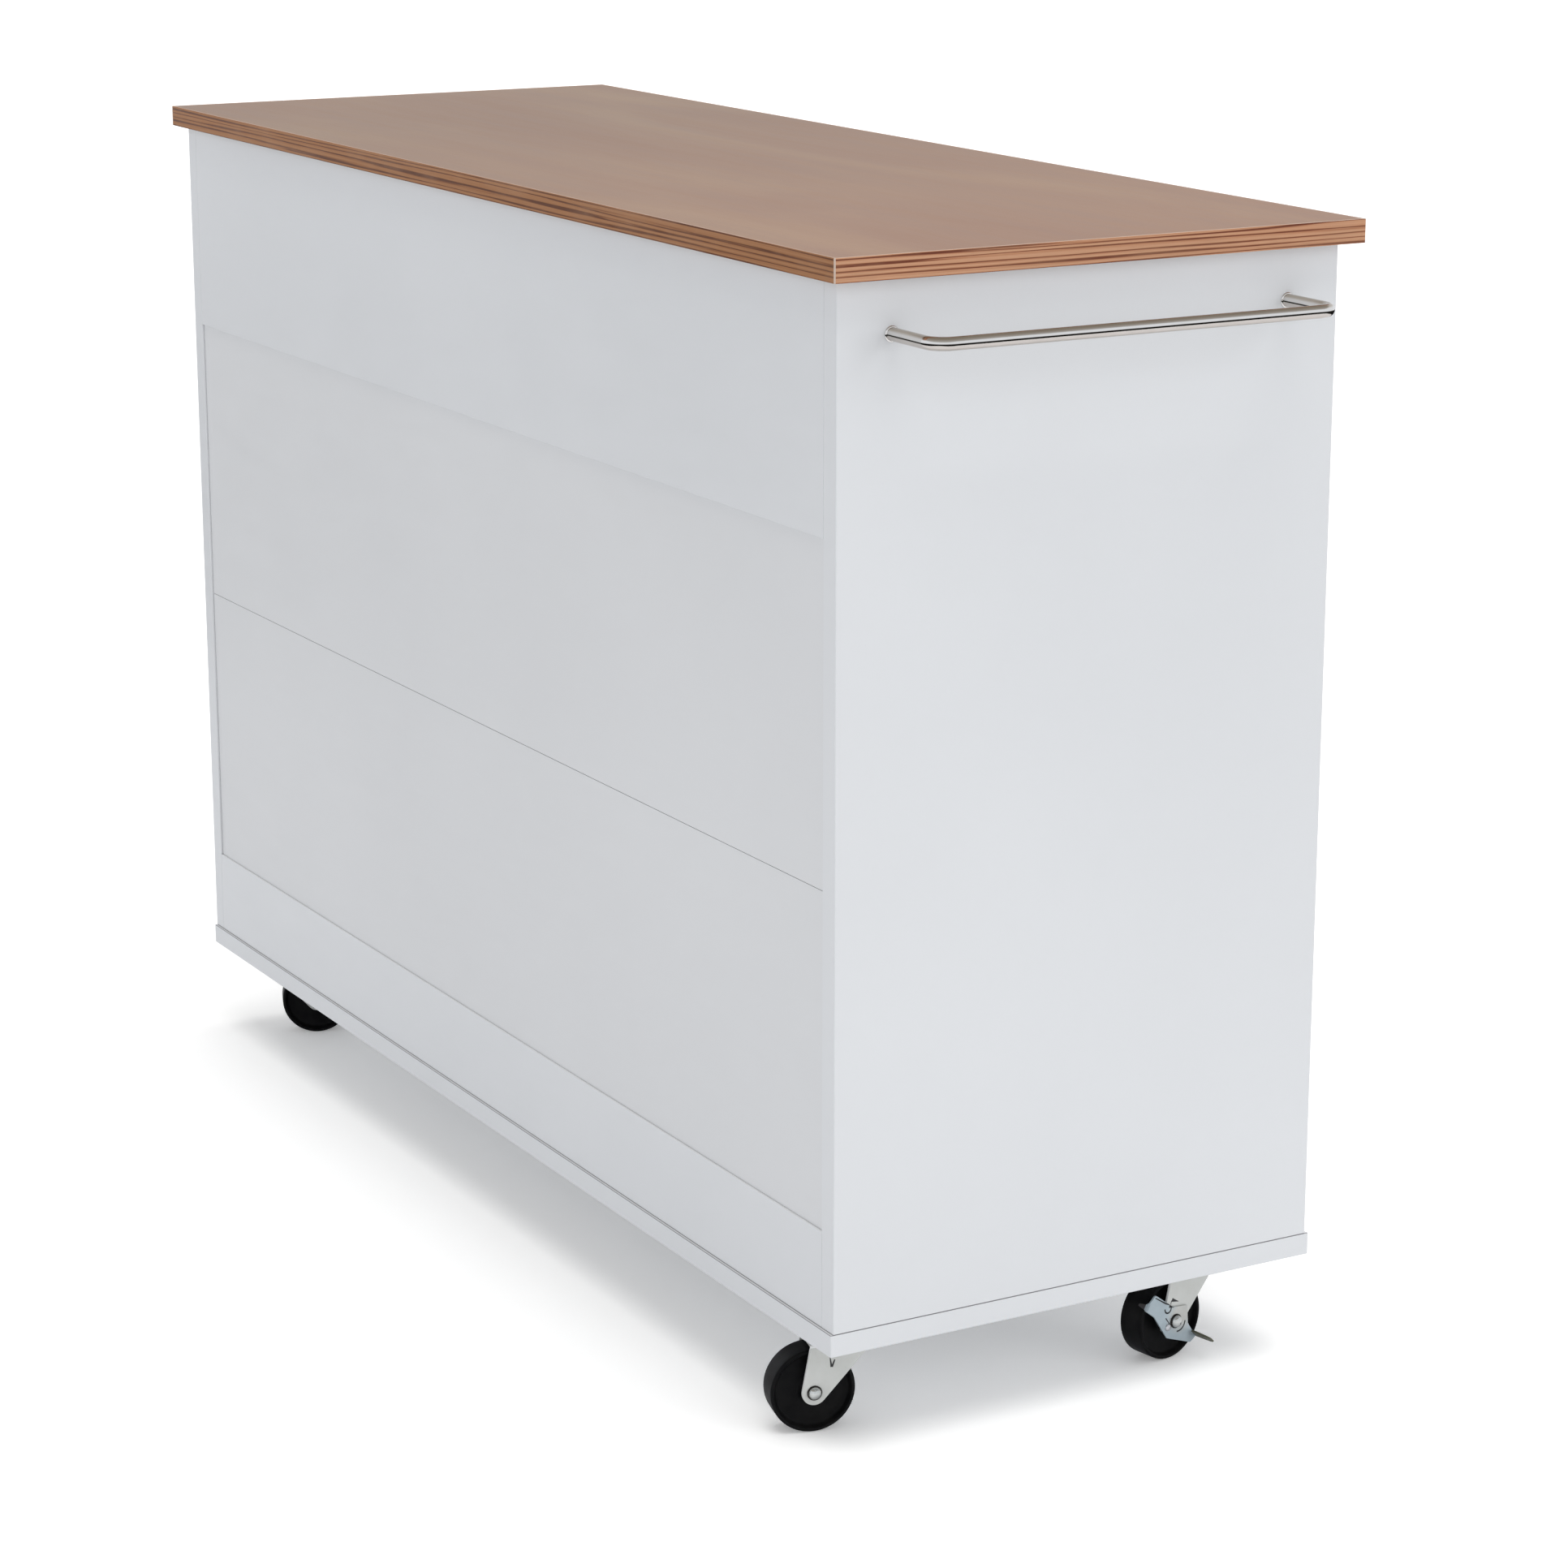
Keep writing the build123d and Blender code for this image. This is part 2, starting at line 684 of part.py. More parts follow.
def caster_plate(caster):
    """The top plate, with the upper half of the ball race pressed into it."""
    centre = Plane(origin=(caster[0], caster[1], CASTER_HEIGHT - PLATE_THICK))
    boss = centre.origin.Z - PLATE_BOSS_BOTTOM
    with BuildPart() as plate:
        with BuildSketch(centre):
            RectangleRounded(PLATE_LONG, PLATE_SHORT, PLATE_CORNER)
        extrude(amount=PLATE_THICK)
        rod(centre, PLATE_BOSS_RADIUS, -boss)
        fillet(plate.edges().sort_by(Axis.Z)[0], boss / 2)
        with BuildSketch(centre):
            with GridLocations(CASTER_SCREW_X, CASTER_SCREW_Y, 2, 2):
                Circle(CASTER_SCREW_RADIUS)
        extrude(amount=PLATE_THICK, mode=Mode.SUBTRACT)
        rod(centre.offset(-boss), KINGPIN_RADIUS, boss + PLATE_THICK, Mode.SUBTRACT)
    return plate.part


def kingpin(caster):
    low = KINGPIN_HEAD_TOP - KINGPIN_HEAD_THICK
    with BuildPart() as pin:
        rod(swivel_plane(caster, low), KINGPIN_HEAD_RADIUS, KINGPIN_HEAD_THICK)
        fillet(pin.edges().sort_by(Axis.Z)[0], KINGPIN_HEAD_THICK / 2)
        rod(swivel_plane(caster, KINGPIN_HEAD_TOP), KINGPIN_RADIUS, CASTER_HEIGHT - KINGPIN_HEAD_TOP)
    return pin.part


def caster_screw(place):
    """A pan-head screw up through the plate into the base board; the place is on the board."""
    with BuildPart() as screw:
        rod(place.offset(-PLATE_THICK), CASTER_SCREW_RADIUS, PLATE_THICK + CASTER_SCREW_BITE)
        rod(place.offset(-PLATE_THICK), CASTER_SCREW_HEAD, -CASTER_SCREW_HEAD_THICK)
        fillet(screw.edges().sort_by(Axis.Z)[0], CASTER_SCREW_HEAD_THICK / 2)
    return screw.part


def fork(caster):
    """A pressed steel fork: a crown under the ball race and two legs down to the axle."""
    crown_length = CROWN_FRONT + CROWN_BACK
    crown_middle = (CROWN_BACK - CROWN_FRONT) / 2 - TRAIL
    with BuildPart() as body:
        with BuildSketch(side_plane(caster, FORK_OUT)):
            Circle(FORK_END_RADIUS)
            if caster[3]:
                with Locations(BRAKE_PIVOT):
                    Circle(BRAKE_LUG_RADIUS)
            with Locations((crown_middle, CROWN_TOP - WHEEL_RADIUS - CROWN_SKIRT / 2)):
                Rectangle(crown_length, CROWN_SKIRT)
            make_hull()
        extrude(amount=2 * FORK_OUT)
        top_edges = body.faces().sort_by(Axis.Z)[-1].edges()
        fillet(top_edges.filter_by(Plane(origin=(0, 0, 0), z_dir=axle_direction(caster))), FORK_BEND)
        with BuildSketch(swivel_plane(caster, CROWN_TOP - CROWN_SHEET)):
            with Locations((TRAIL, 0)):
                Rectangle(FORK_CUT, FORK_GAP)
        extrude(amount=-CROWN_TOP, mode=Mode.SUBTRACT)
        rod(swivel_plane(caster, CROWN_TOP), RACE_RADIUS, RACE_TOP - CROWN_TOP)
        bore = KINGPIN_RADIUS + KINGPIN_CLEARANCE
        rod(swivel_plane(caster, RACE_TOP), bore, -CROWN_TOP, Mode.SUBTRACT)
        rod(side_plane(caster, FORK_OUT), AXLE_RADIUS, 2 * FORK_OUT, Mode.SUBTRACT)
        if caster[3]:
            rod(side_plane(caster, FORK_OUT, BRAKE_PIVOT), BRAKE_RIVET_RADIUS, FORK_SHEET, Mode.SUBTRACT)
    return body.part


def brake_rivet(caster):
    """Holds the brake lever against the outside of the fork leg."""
    with BuildPart() as rivet:
        head = side_plane(caster, HEAD_IN, BRAKE_PIVOT)
        rod(head, BRAKE_RIVET_RADIUS, HEAD_IN - FORK_GAP / 2)
        rod(head, BRAKE_RIVET_HEAD, -BRAKE_RIVET_HEAD_THICK)
    return rivet.part


def wheel(caster):
    """A moulded wheel: a rim, a dished web and a hub, turned about the axle."""
    half = WHEEL_WIDTH / 2
    middle = axle_middle(caster)
    axle = axle_direction(caster)
    with BuildPart() as body:
        with BuildSketch(Plane(origin=middle, x_dir=axle, z_dir=trail_direction(caster))):
            with BuildLine():
                Polyline(
                    (0, WHEEL_RADIUS),
                    (half, WHEEL_RADIUS),
                    (half, WHEEL_RADIUS - RIM_LIP),
                    (WEB_WIDTH / 2, WHEEL_RADIUS - RIM_THICK),
                    (WEB_WIDTH / 2, HUB_RADIUS + RIM_LIP),
                    (HUB_WIDTH / 2, HUB_RADIUS),
                    (HUB_WIDTH / 2, AXLE_RADIUS + AXLE_CLEARANCE),
                    (0, AXLE_RADIUS + AXLE_CLEARANCE),
                )
                mirror(about=Plane.YZ)
            make_face()
        revolve(axis=Axis(middle, axle))
        treads = body.edges().filter_by(GeomType.CIRCLE).group_by(SortBy.RADIUS)[-1]
        fillet(treads, TREAD_ROUND)
    return body.part


def axle_bolt(caster):
    """A domed bolt through both fork legs; its head is on the brake side."""
    head_in = HEAD_IN if caster[3] else FORK_OUT
    with BuildPart() as bolt:
        rod(side_plane(caster, head_in), AXLE_HEAD_RADIUS, -AXLE_HEAD_THICK)
        outer = bolt.faces().sort_by(Axis(axle_middle(caster), axle_direction(caster)))[-1]
        fillet(outer.edges(), AXLE_HEAD_THICK / 2)
        rod(side_plane(caster, head_in), AXLE_RADIUS, head_in + FORK_OUT + NUT_THICK + AXLE_STUB)
    return bolt.part


def axle_nut(caster):
    with BuildPart() as nut:
        with BuildSketch(side_plane(caster, -FORK_OUT)):
            RegularPolygon(NUT_FLATS / 2, 6, major_radius=False)
            Circle(AXLE_RADIUS, mode=Mode.SUBTRACT)
        extrude(amount=NUT_THICK)
    return nut.part


def brake_lever(caster):
    """A plate over the axle, with a shoe bent in over the tread and a foot tab bent out."""
    back = Vector(cos(radians(BRAKE_SHOE_ANGLE)), sin(radians(BRAKE_SHOE_ANGLE)))
    along = Vector(-back.Y, back.X)
    shoe_in = WHEEL_RADIUS + BRAKE_SHOE_GAP
    shoe_middle = back * (shoe_in + BRAKE_SHEET / 2)
    shoe_low = back * (shoe_in + BRAKE_SHEET) - along * BRAKE_SHOE_LENGTH / 2
    shoe_high = back * (shoe_in + BRAKE_SHEET) + along * BRAKE_SHOE_LENGTH / 2
    tab_start = Vector(*BRAKE_TAB_START)
    tab_end = Vector(*BRAKE_TAB_END)
    tab_run = tab_end - tab_start
    inward = Vector(-tab_run.Y, tab_run.X).normalized()
    tab_middle = (tab_start + tab_end) / 2 + inward * BRAKE_SHEET / 2
    tab_angle = degrees(atan2(tab_run.Y, tab_run.X))
    outline = [shoe_low, shoe_high, *BRAKE_TOP_EDGE, tab_start, tab_end, *BRAKE_LOW_EDGE]
    corners = [0, 0, *[BRAKE_CORNER] * len(BRAKE_TOP_EDGE), 0, 0, *[BRAKE_CORNER] * len(BRAKE_LOW_EDGE)]
    with BuildPart() as lever:
        with BuildSketch(side_plane(caster, BRAKE_OUT)):
            with BuildLine():
                FilletPolyline(*outline, radius=corners, close=True)
            make_face()
        extrude(amount=BRAKE_SHEET)
        with BuildSketch(side_plane(caster, BRAKE_OUT)):
            with Locations(shoe_middle):
                Rectangle(BRAKE_SHEET, BRAKE_SHOE_LENGTH, rotation=BRAKE_SHOE_ANGLE)
        extrude(amount=BRAKE_SHEET + BRAKE_SHOE_REACH)
        with BuildSketch(side_plane(caster, BRAKE_OUT + BRAKE_TAB_REACH)):
            with Locations(tab_middle):
                Rectangle(tab_run.length, BRAKE_SHEET, rotation=tab_angle)
        extrude(amount=BRAKE_SHEET + BRAKE_TAB_REACH)
        pivot = side_plane(caster, BRAKE_OUT, BRAKE_PIVOT)
        rod(pivot, BRAKE_RIVET_RADIUS + HINGE_CLEARANCE, BRAKE_SHEET, Mode.SUBTRACT)
        axle = side_plane(caster, BRAKE_OUT, BRAKE_AXLE_HOLE)
        rod(axle, BRAKE_AXLE_HOLE_RADIUS, BRAKE_SHEET, Mode.SUBTRACT)
    return lever.part


# ---- The cart ------------------------------------------------------------------------------


def write_carcass():
    save(worktop(), "worktop")
    save_group(worktop_bands(), "worktop_edge_bands")
    save(base_board(), "base_board")
    save(side_panel(LEFT, IN_LEFT), "left_side_panel")
    save(side_panel(RIGHT, IN_RIGHT), "right_side_panel")
    save(centre_partition(), "centre_partition")
    save(drawer_partition(), "drawer_partition")
    save(cross_board((FRONT, PANEL_FRONT), (DECK_UNDER, DECK_TOP)), "drawer_deck")
    save(cross_board((FRONT, FRONT + FRONT_RAIL_DEPTH), (FRONT_RAIL_UNDER, TOP_UNDER)), "front_top_rail")
    save(back_rail((DECK_TOP, TOP_UNDER), (DECK_TOP, DECK_TOP + BACK_GROOVE)), "back_top_rail")
    bottom_groove = (BOTTOM_RAIL_TOP - BACK_GROOVE, BOTTOM_RAIL_TOP)
    save(back_rail((BASE_TOP, BOTTOM_RAIL_TOP), bottom_groove), "back_bottom_rail")
    for name, z in BACK_PANELS.items():
        save(back_panel(z), name)
    for side, bay in BAYS.items():
        save(shelf(bay), f"{side}_shelf")
    save_group(shelf_pins(), "shelf_pins")


def write_towel_bar():
    save(towel_bar(), "towel_bar")
    save_group(towel_collars(), "towel_bar_collars")
    save_group(bar_screws(TOWEL_PLANE, TOWEL_SPACING), "towel_bar_screws")


def write_drawers():
    save_group([rail for bay in BAYS.values() for rail in cabinet_rails(bay)], "drawer_cabinet_rails")
    for side, bay in BAYS.items():
        save(drawer_front(bay), f"{side}_drawer_front")
        save_group(drawer_box(bay), f"{side}_drawer_box")
        save(drawer_bottom(bay), f"{side}_drawer_bottom")
        save_group(drawer_runners(bay), f"{side}_drawer_runners")
        save_group(handle_and_screws(drawer_handle_plane(bay)), f"{side}_drawer_handle")


def write_doors():
    fixed = [leaf for face, run in DOORS.values() for leaf in cabinet_hinge_leaves(face, run)]
    pins = [pin for face, run in DOORS.values() for pin in hinge_pins(face, run)]
    save_group(fixed + pins, "cabinet_hinge_leaves")
    for name, (face, run) in DOORS.items():
        save(door_panel(face, run), f"{name}_door")
        save_group(door_hinge_leaves(face, run), f"{name}_door_hinges")
        save_group(handle_and_screws(door_handle_plane(face, run)), f"{name}_door_handle")


def write_casters():
    casters = CASTERS.values()
    save_group([caster_plate(caster) for caster in casters], "caster_plates")
    save_group([kingpin(caster) for caster in casters], "caster_kingpins")
    save_group([caster_screw(place) for place in caster_screw_places(BASE_BOTTOM)], "caster_screws")
    for name, caster in CASTERS.items():
        save(wheel(caster), f"{name}_wheel")
        save_group([axle_bolt(caster), axle_nut(caster)], f"{name}_axle")
        if caster[3]:
            save_group([fork(caster), brake_rivet(caster)], f"{name}_fork")
            save(brake_lever(caster), f"{name}_brake_lever")
        else:
            save(fork(caster), f"{name}_fork")


os.makedirs("parts", exist_ok=True)
write_carcass()
write_towel_bar()
write_drawers()
write_doors()
write_casters()
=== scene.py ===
import json
import math

import bmesh
import bpy
from mathutils import Matrix, Vector


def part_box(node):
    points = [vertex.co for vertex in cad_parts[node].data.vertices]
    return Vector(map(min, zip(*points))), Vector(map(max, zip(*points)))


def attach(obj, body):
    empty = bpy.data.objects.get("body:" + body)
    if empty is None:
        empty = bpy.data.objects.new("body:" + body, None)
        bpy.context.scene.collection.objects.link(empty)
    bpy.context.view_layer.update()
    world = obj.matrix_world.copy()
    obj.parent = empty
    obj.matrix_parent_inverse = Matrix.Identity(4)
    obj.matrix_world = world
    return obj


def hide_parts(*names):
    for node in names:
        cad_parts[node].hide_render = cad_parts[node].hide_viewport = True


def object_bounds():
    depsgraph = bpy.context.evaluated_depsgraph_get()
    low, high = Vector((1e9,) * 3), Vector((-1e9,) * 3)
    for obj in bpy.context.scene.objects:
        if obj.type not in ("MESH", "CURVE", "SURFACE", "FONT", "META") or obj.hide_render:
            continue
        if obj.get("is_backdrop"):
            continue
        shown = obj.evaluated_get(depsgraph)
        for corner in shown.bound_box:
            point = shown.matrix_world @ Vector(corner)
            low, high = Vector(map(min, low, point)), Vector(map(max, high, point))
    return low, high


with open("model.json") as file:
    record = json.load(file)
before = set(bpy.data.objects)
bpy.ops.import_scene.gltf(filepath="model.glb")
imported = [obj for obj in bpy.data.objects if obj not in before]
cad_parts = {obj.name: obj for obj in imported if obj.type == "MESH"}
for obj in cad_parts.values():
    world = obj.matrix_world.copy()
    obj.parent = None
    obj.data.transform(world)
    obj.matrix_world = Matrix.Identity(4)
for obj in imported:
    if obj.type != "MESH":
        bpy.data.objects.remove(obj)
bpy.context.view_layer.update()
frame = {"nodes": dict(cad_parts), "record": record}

MM = 0.001
NODES = frame["nodes"]
BEHAVIOUR = frame["record"]["behaviour"]
JOINTS = {joint["name"]: joint for joint in BEHAVIOUR["joints"]}
BODY_OF = {node: body for body, nodes in BEHAVIOUR["bodies"].items() for node in nodes}
CORNERS = ("back_left", "back_right", "front_left", "front_right")
BRAKED = ("front_left", "front_right")
SIDES = ("left", "right")
DOORS = ("left_outer", "left_inner", "right_inner", "right_outer")
UP = Vector((0, 0, 1))
EDGE_BAND_THICK = 0.002
STREAK_SCALE = 76.0  # about four streaks up the band
SWEEP_START = -0.65  # X of the worktop's warmest tone; it cools over a metre

# Casters, in millimetres. Each is built round its axle: X is behind the axle, Y is towards the
# brake side, Z is up.
WHEEL_RADIUS = 34.0
FORK_OUT = 15.5
FORK_SHEET = 2.0
FORK_END = 10.0
CROWN = (-44.0, 3.0)
CROWN_TOP = 39.0
CROWN_SKIRT = 5.0
CROWN_BEND = 3.5
TRAIL = 31.0
BRAKE_PIVOT = (8.5, -3.5)
BRAKE_LUG = 5.0
BRAKE_PLAY = 0.1
LEVER_SHEET = 1.8
LEVER_IN = FORK_OUT + BRAKE_PLAY
LEVER_OUT = LEVER_IN + LEVER_SHEET

# Marks in the pressed parts, in millimetres from the axle, as (behind it, above it): slits, grooves and
# edges, dented by a bump and painted near-black as the shade in them.
# A line is (start, end, half width at the start, half width at the end).
# A curve is (centre, radius, half width, first angle, last angle), in degrees.
PLAIN_LANCES = (
    ((-12.2, 28.6), (-13.4, 20.0), 0.25, 0.75),
    ((-16.0, 25.8), (-13.8, 20.0), 0.40, 0.75),
)
BRAKED_LANCES = (
    ((2.6, 18.0), (-4.9, 14.9), 1.50, 0.05),
    ((3.0, 17.6), (4.1, 14.4), 0.40, 0.20),
)
LEVER_LINES = (
    ((11.2, 5.0), (7.0, -0.6), 0.38, 0.20),
    ((7.4, 14.6), (2.0, 12.4), 1.40, 0.20),
    ((23.4, 25.4), (12.0, 18.0), 0.25, 0.55),
    ((12.0, 18.0), (1.0, 12.6), 0.55, 0.15),
)
LEVER_CURVES = (
    ((-3.2, -2.0), 7.6, 0.42, -178, -78),
    ((8.8, 12.4), 3.5, 0.42, -188, 10),
)
# The radius and half width of the near-black ring painted on each bolt head as shade round its dome.
BOLT_SHADE_RING = 5.7
BOLT_SHADE_RING_HALF = 0.55
LEVER_WARM_CENTRE = (-6.0, 4.0)
LEVER_WARM_REACH = 20.0

# ---- Material building blocks ----------------------------


def is_socket(value):
    return isinstance(value, bpy.types.NodeSocket)


def set_stops(ramp, stops):
    """Gives a colour ramp its stops: (position, colour or grey)."""
    points = ramp.elements
    while len(points) < len(stops):
        points.new(0.5)
    for point, (position, colour) in zip(points, stops):
        point.position = position
        grey = isinstance(colour, (int, float))
        point.color = (colour, colour, colour, 1) if grey else (*colour, 1)


class Look:
    """A node material being built: each method adds nodes and returns their output socket."""

    def __init__(self, name, roughness=0.5, metallic=0.0, specular=0.5):
        self.material = bpy.data.materials.new(name)
        self.material.use_nodes = True
        self.tree = self.material.node_tree
        self.surface = self.tree.nodes["Principled BSDF"]
        self.surface.inputs["Roughness"].default_value = roughness
        self.surface.inputs["Metallic"].default_value = metallic
        self.surface.inputs["Specular IOR Level"].default_value = specular
        self.place = self.node("ShaderNodeTexCoord").outputs["Object"]
        self.normal = None

    def node(self, kind, **settings):
        made = self.tree.nodes.new(kind)
        for name, value in settings.items():
            setattr(made, name, value)
        return made

    def feed(self, socket, value):
        if is_socket(value):
            self.tree.links.new(value, socket)
        else:
            socket.default_value = value

    def feed_colour(self, socket, colour):
        self.feed(socket, colour if is_socket(colour) else (*colour, 1))

    def stretched(self, scale):
        """The place on the object, stretched along each axis."""
        made = self.node("ShaderNodeMapping")
        self.feed(made.inputs["Vector"], self.place)
        made.inputs["Scale"].default_value = scale
        return made.outputs["Vector"]

    def noise(self, scale, detail=4.0, roughness=0.5, distortion=0.0, vector=None):
        made = self.node("ShaderNodeTexNoise")
        self.feed(made.inputs["Vector"], self.place if vector is None else vector)
        made.inputs["Scale"].default_value = scale
        made.inputs["Detail"].default_value = detail
        made.inputs["Roughness"].default_value = roughness
        made.inputs["Distortion"].default_value = distortion
        return made.outputs["Fac"]

    def ramp(self, value, *stops):
        """Maps a number to the colours, or greys, at its stops."""
        made = self.node("ShaderNodeValToRGB")
        self.feed(made.inputs["Fac"], value)
        set_stops(made.color_ramp, stops)
        return made.outputs["Color"]

    def mix(self, share, first, second, blend="MIX"):
        made = self.node("ShaderNodeMix", data_type="RGBA", blend_type=blend)
        self.feed(made.inputs["Factor"], share)
        self.feed_colour(made.inputs[6], first)
        self.feed_colour(made.inputs[7], second)
        return made.outputs[2]

    def maths(self, operation, first, second=0.0):
        made = self.node("ShaderNodeMath", operation=operation)
        self.feed(made.inputs[0], first)
        self.feed(made.inputs[1], second)
        return made.outputs[0]

    def axis(self, vector, name):
        made = self.node("ShaderNodeSeparateXYZ")
        self.feed(made.inputs[0], vector)
        return made.outputs[name]

    def facing(self, name):
        """How squarely the surface faces along an axis, from 0 to 1."""
        true_normal = self.node("ShaderNodeNewGeometry").outputs["True Normal"]
        return self.maths("ABSOLUTE", self.axis(true_normal, name))

    def painted_seam_shade(self, colour, dark, reach):
        """Paints shade into a colour: darkens it in gaps and inside corners narrower than a reach in
        metres.
        """
        made = self.node("ShaderNodeAmbientOcclusion", samples=12)
        made.inputs["Distance"].default_value = reach
        gap = self.ramp(made.outputs["AO"], (0.30, 1.0), (0.72, 0.0))
        return self.mix(gap, colour, dark)

    def eased(self, value, low, high):
        """Runs smoothly from 0 where a number is `low` to 1 where it is `high`."""
        made = self.node("ShaderNodeMapRange", interpolation_type="SMOOTHSTEP")
        self.feed(made.inputs["Value"], value)
        made.inputs["From Min"].default_value = low
        made.inputs["From Max"].default_value = high
        return made.outputs["Result"]

    def band(self, value, middle, half, soft):
        """1 where a number is within `half` of `middle`, falling to 0 over `soft`."""
        away = self.maths("ABSOLUTE", self.maths("SUBTRACT", value, middle))
        return self.maths("SUBTRACT", 1.0, self.eased(away, half, half + soft))

    def offsets(self, origin):
        """How far behind and above an origin in millimetres a place on a caster is, in metres."""
        behind = self.maths("SUBTRACT", self.axis(self.place, "X"), origin[0] * MM)
        above = self.maths("SUBTRACT", self.axis(self.place, "Z"), origin[1] * MM)
        return behind, above

    def dot(self, across, up, ahead):
        """How far a flat offset goes along a flat direction."""
        return self.maths(
            "ADD", self.maths("MULTIPLY", across, ahead[0]), self.maths("MULTIPLY", up, ahead[1])
        )

    def distance(self, centre):
        """How far a place on a caster is from a line parallel to its axle, in metres."""
        behind, above = self.offsets(centre)
        squares = self.maths("ADD", self.maths("POWER", behind, 2.0), self.maths("POWER", above, 2.0))
        return self.maths("SQRT", squares)

    def curve_mark(self, centre, radius, half, start, end):
        """A mark along part of a circle: angles run from behind the axle to above it."""
        far = self.distance(centre)
        turn = math.radians((start + end) / 2)
        along = self.dot(*self.offsets(centre), (math.cos(turn), math.sin(turn)))
        inside = math.cos(math.radians(min(180, abs(end - start) / 2)))
        share = self.maths("DIVIDE", along, self.maths("MAXIMUM", far, 0.0001))
        ends = self.eased(share, inside - 0.01, inside + 0.03)
        return self.maths("MULTIPLY", self.band(far, radius * MM, half * MM, half * MM), ends)

    def line_mark(self, start, end, first_half, last_half):
        """A straight mark whose half width changes from its start to its end."""
        run = Vector(end) - Vector(start)
        ahead = run.normalized()
        offset = self.offsets(start)
        share = self.maths("DIVIDE", self.dot(*offset, ahead), run.length * MM)
        aside = self.dot(*offset, (-ahead.y, ahead.x))
        wider = self.maths("MULTIPLY", share, (last_half - first_half) * MM)
        half = self.maths("ADD", first_half * MM, wider)
        spare = self.maths("SUBTRACT", half, self.maths("ABSOLUTE", aside))
        inside = self.eased(spare, -0.25 * MM, 0.10 * MM)
        return self.maths("MULTIPLY", inside, self.band(share, 0.5, 0.5, 0.02))

    def either(self, *marks):
        total = marks[0]
        for mark in marks[1:]:
            total = self.maths("MAXIMUM", total, mark)
        return total

    def bump(self, height, strength, distance):
        made = self.node("ShaderNodeBump")
        self.feed(made.inputs["Height"], height)
        made.inputs["Strength"].default_value = strength
        made.inputs["Distance"].default_value = distance
        if self.normal is not None:
            self.feed(made.inputs["Normal"], self.normal)
        self.normal = made.outputs["Normal"]

    def finish(self, colour, roughness=None):
        self.feed(self.surface.inputs["Base Color"], colour)
        if roughness is not None:
            self.feed(self.surface.inputs["Roughness"], roughness)
        if self.normal is not None:
            self.feed(self.surface.inputs["Normal"], self.normal)
        return self.material


# ---- Materials -------------------------------------------


def white_board(name, colour, shade, roughness):
    """Smooth foil on board: a faint orange peel, slow changes of tone and small scuffs, with painted
    shade in its gaps and inside corners and along the joint with the base.
    """
    look = Look(name, roughness=roughness, specular=0.4)
    tone = look.noise(2.1, detail=3.0)
    mottled = look.mix(look.ramp(tone, (0.35, 0.0), (0.7, 1.0)), colour, shade)
    speck = look.ramp(look.noise(800, detail=2.0), (0.64, 0.0), (0.80, 0.30))
    final = look.mix(speck, mottled, tuple(channel * 0.94 for channel in shade))
    scuffs = look.noise(1, detail=8.0, roughness=0.7, vector=look.stretched((12, 12, 60)))
    gloss = look.ramp(scuffs, (0.3, roughness - 0.05), (0.75, roughness + 0.10))
    look.bump(look.noise(600, detail=3.0), 0.07, 0.0004)
    look.bump(look.noise(6, detail=2.0), 0.05, 0.004)
    # Painted shade: a dark line on upright faces where the side panels stand on the base.
    base_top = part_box("base_board")[1].z
    joint = look.band(look.axis(look.place, "Z"), base_top, 0.3 * MM, 0.3 * MM)
    upright = look.maths("LESS_THAN", look.facing("Z"), 0.9)
    joint_shaded = look.mix(look.maths("MULTIPLY", joint, upright), final, (0.26, 0.26, 0.27))
    # Painted shade: the gaps and inside corners within 2 mm are darkened.
    return look.finish(look.painted_seam_shade(joint_shaded, (0.32, 0.32, 0.33), 0.002), gloss)


def worktop_wood():
    """Matt printed wood: hazy tan and pink patches with long faint streaks and fibres."""
    look = Look("worktop_wood", roughness=0.55, specular=0.3)
    haze = look.noise(1.0, detail=4.0, distortion=0.8, vector=look.stretched((1.5, 6.0, 6.0)))
    base = look.ramp(
        haze,
        (0.32, (0.330, 0.200, 0.143)),
        (0.52, (0.350, 0.220, 0.158)),
        (0.70, (0.378, 0.245, 0.170)),
    )
    lengthwise = look.stretched((3.0, 60, 60))
    streaks = look.noise(1.0, detail=7.0, roughness=0.68, distortion=0.5, vector=lengthwise)
    streaked = look.mix(look.ramp(streaks, (0.30, 0.45), (0.52, 0.0)), base, (0.262, 0.155, 0.110))
    lit = look.mix(look.ramp(streaks, (0.56, 0.0), (0.80, 0.35)), streaked, (0.428, 0.289, 0.208))
    pores = look.noise(1.0, detail=3.0, vector=look.stretched((90, 1500, 1500)))
    grained = look.mix(look.ramp(pores, (0.60, 0.0), (0.74, 0.28)), lit, (0.225, 0.136, 0.093))
    along = look.maths("SUBTRACT", look.axis(look.place, "X"), SWEEP_START)
    sweep = look.ramp(along, (0.0, (1.0, 0.98, 0.96)), (1.0, (0.86, 0.93, 0.96)))
    final = look.mix(1.0, grained, sweep, "MULTIPLY")
    look.bump(pores, 0.10, 0.0003)
    look.bump(streaks, 0.07, 0.0006)
    gloss = look.ramp(streaks, (0.3, 0.50), (0.7, 0.62))
    return look.finish(final, gloss)


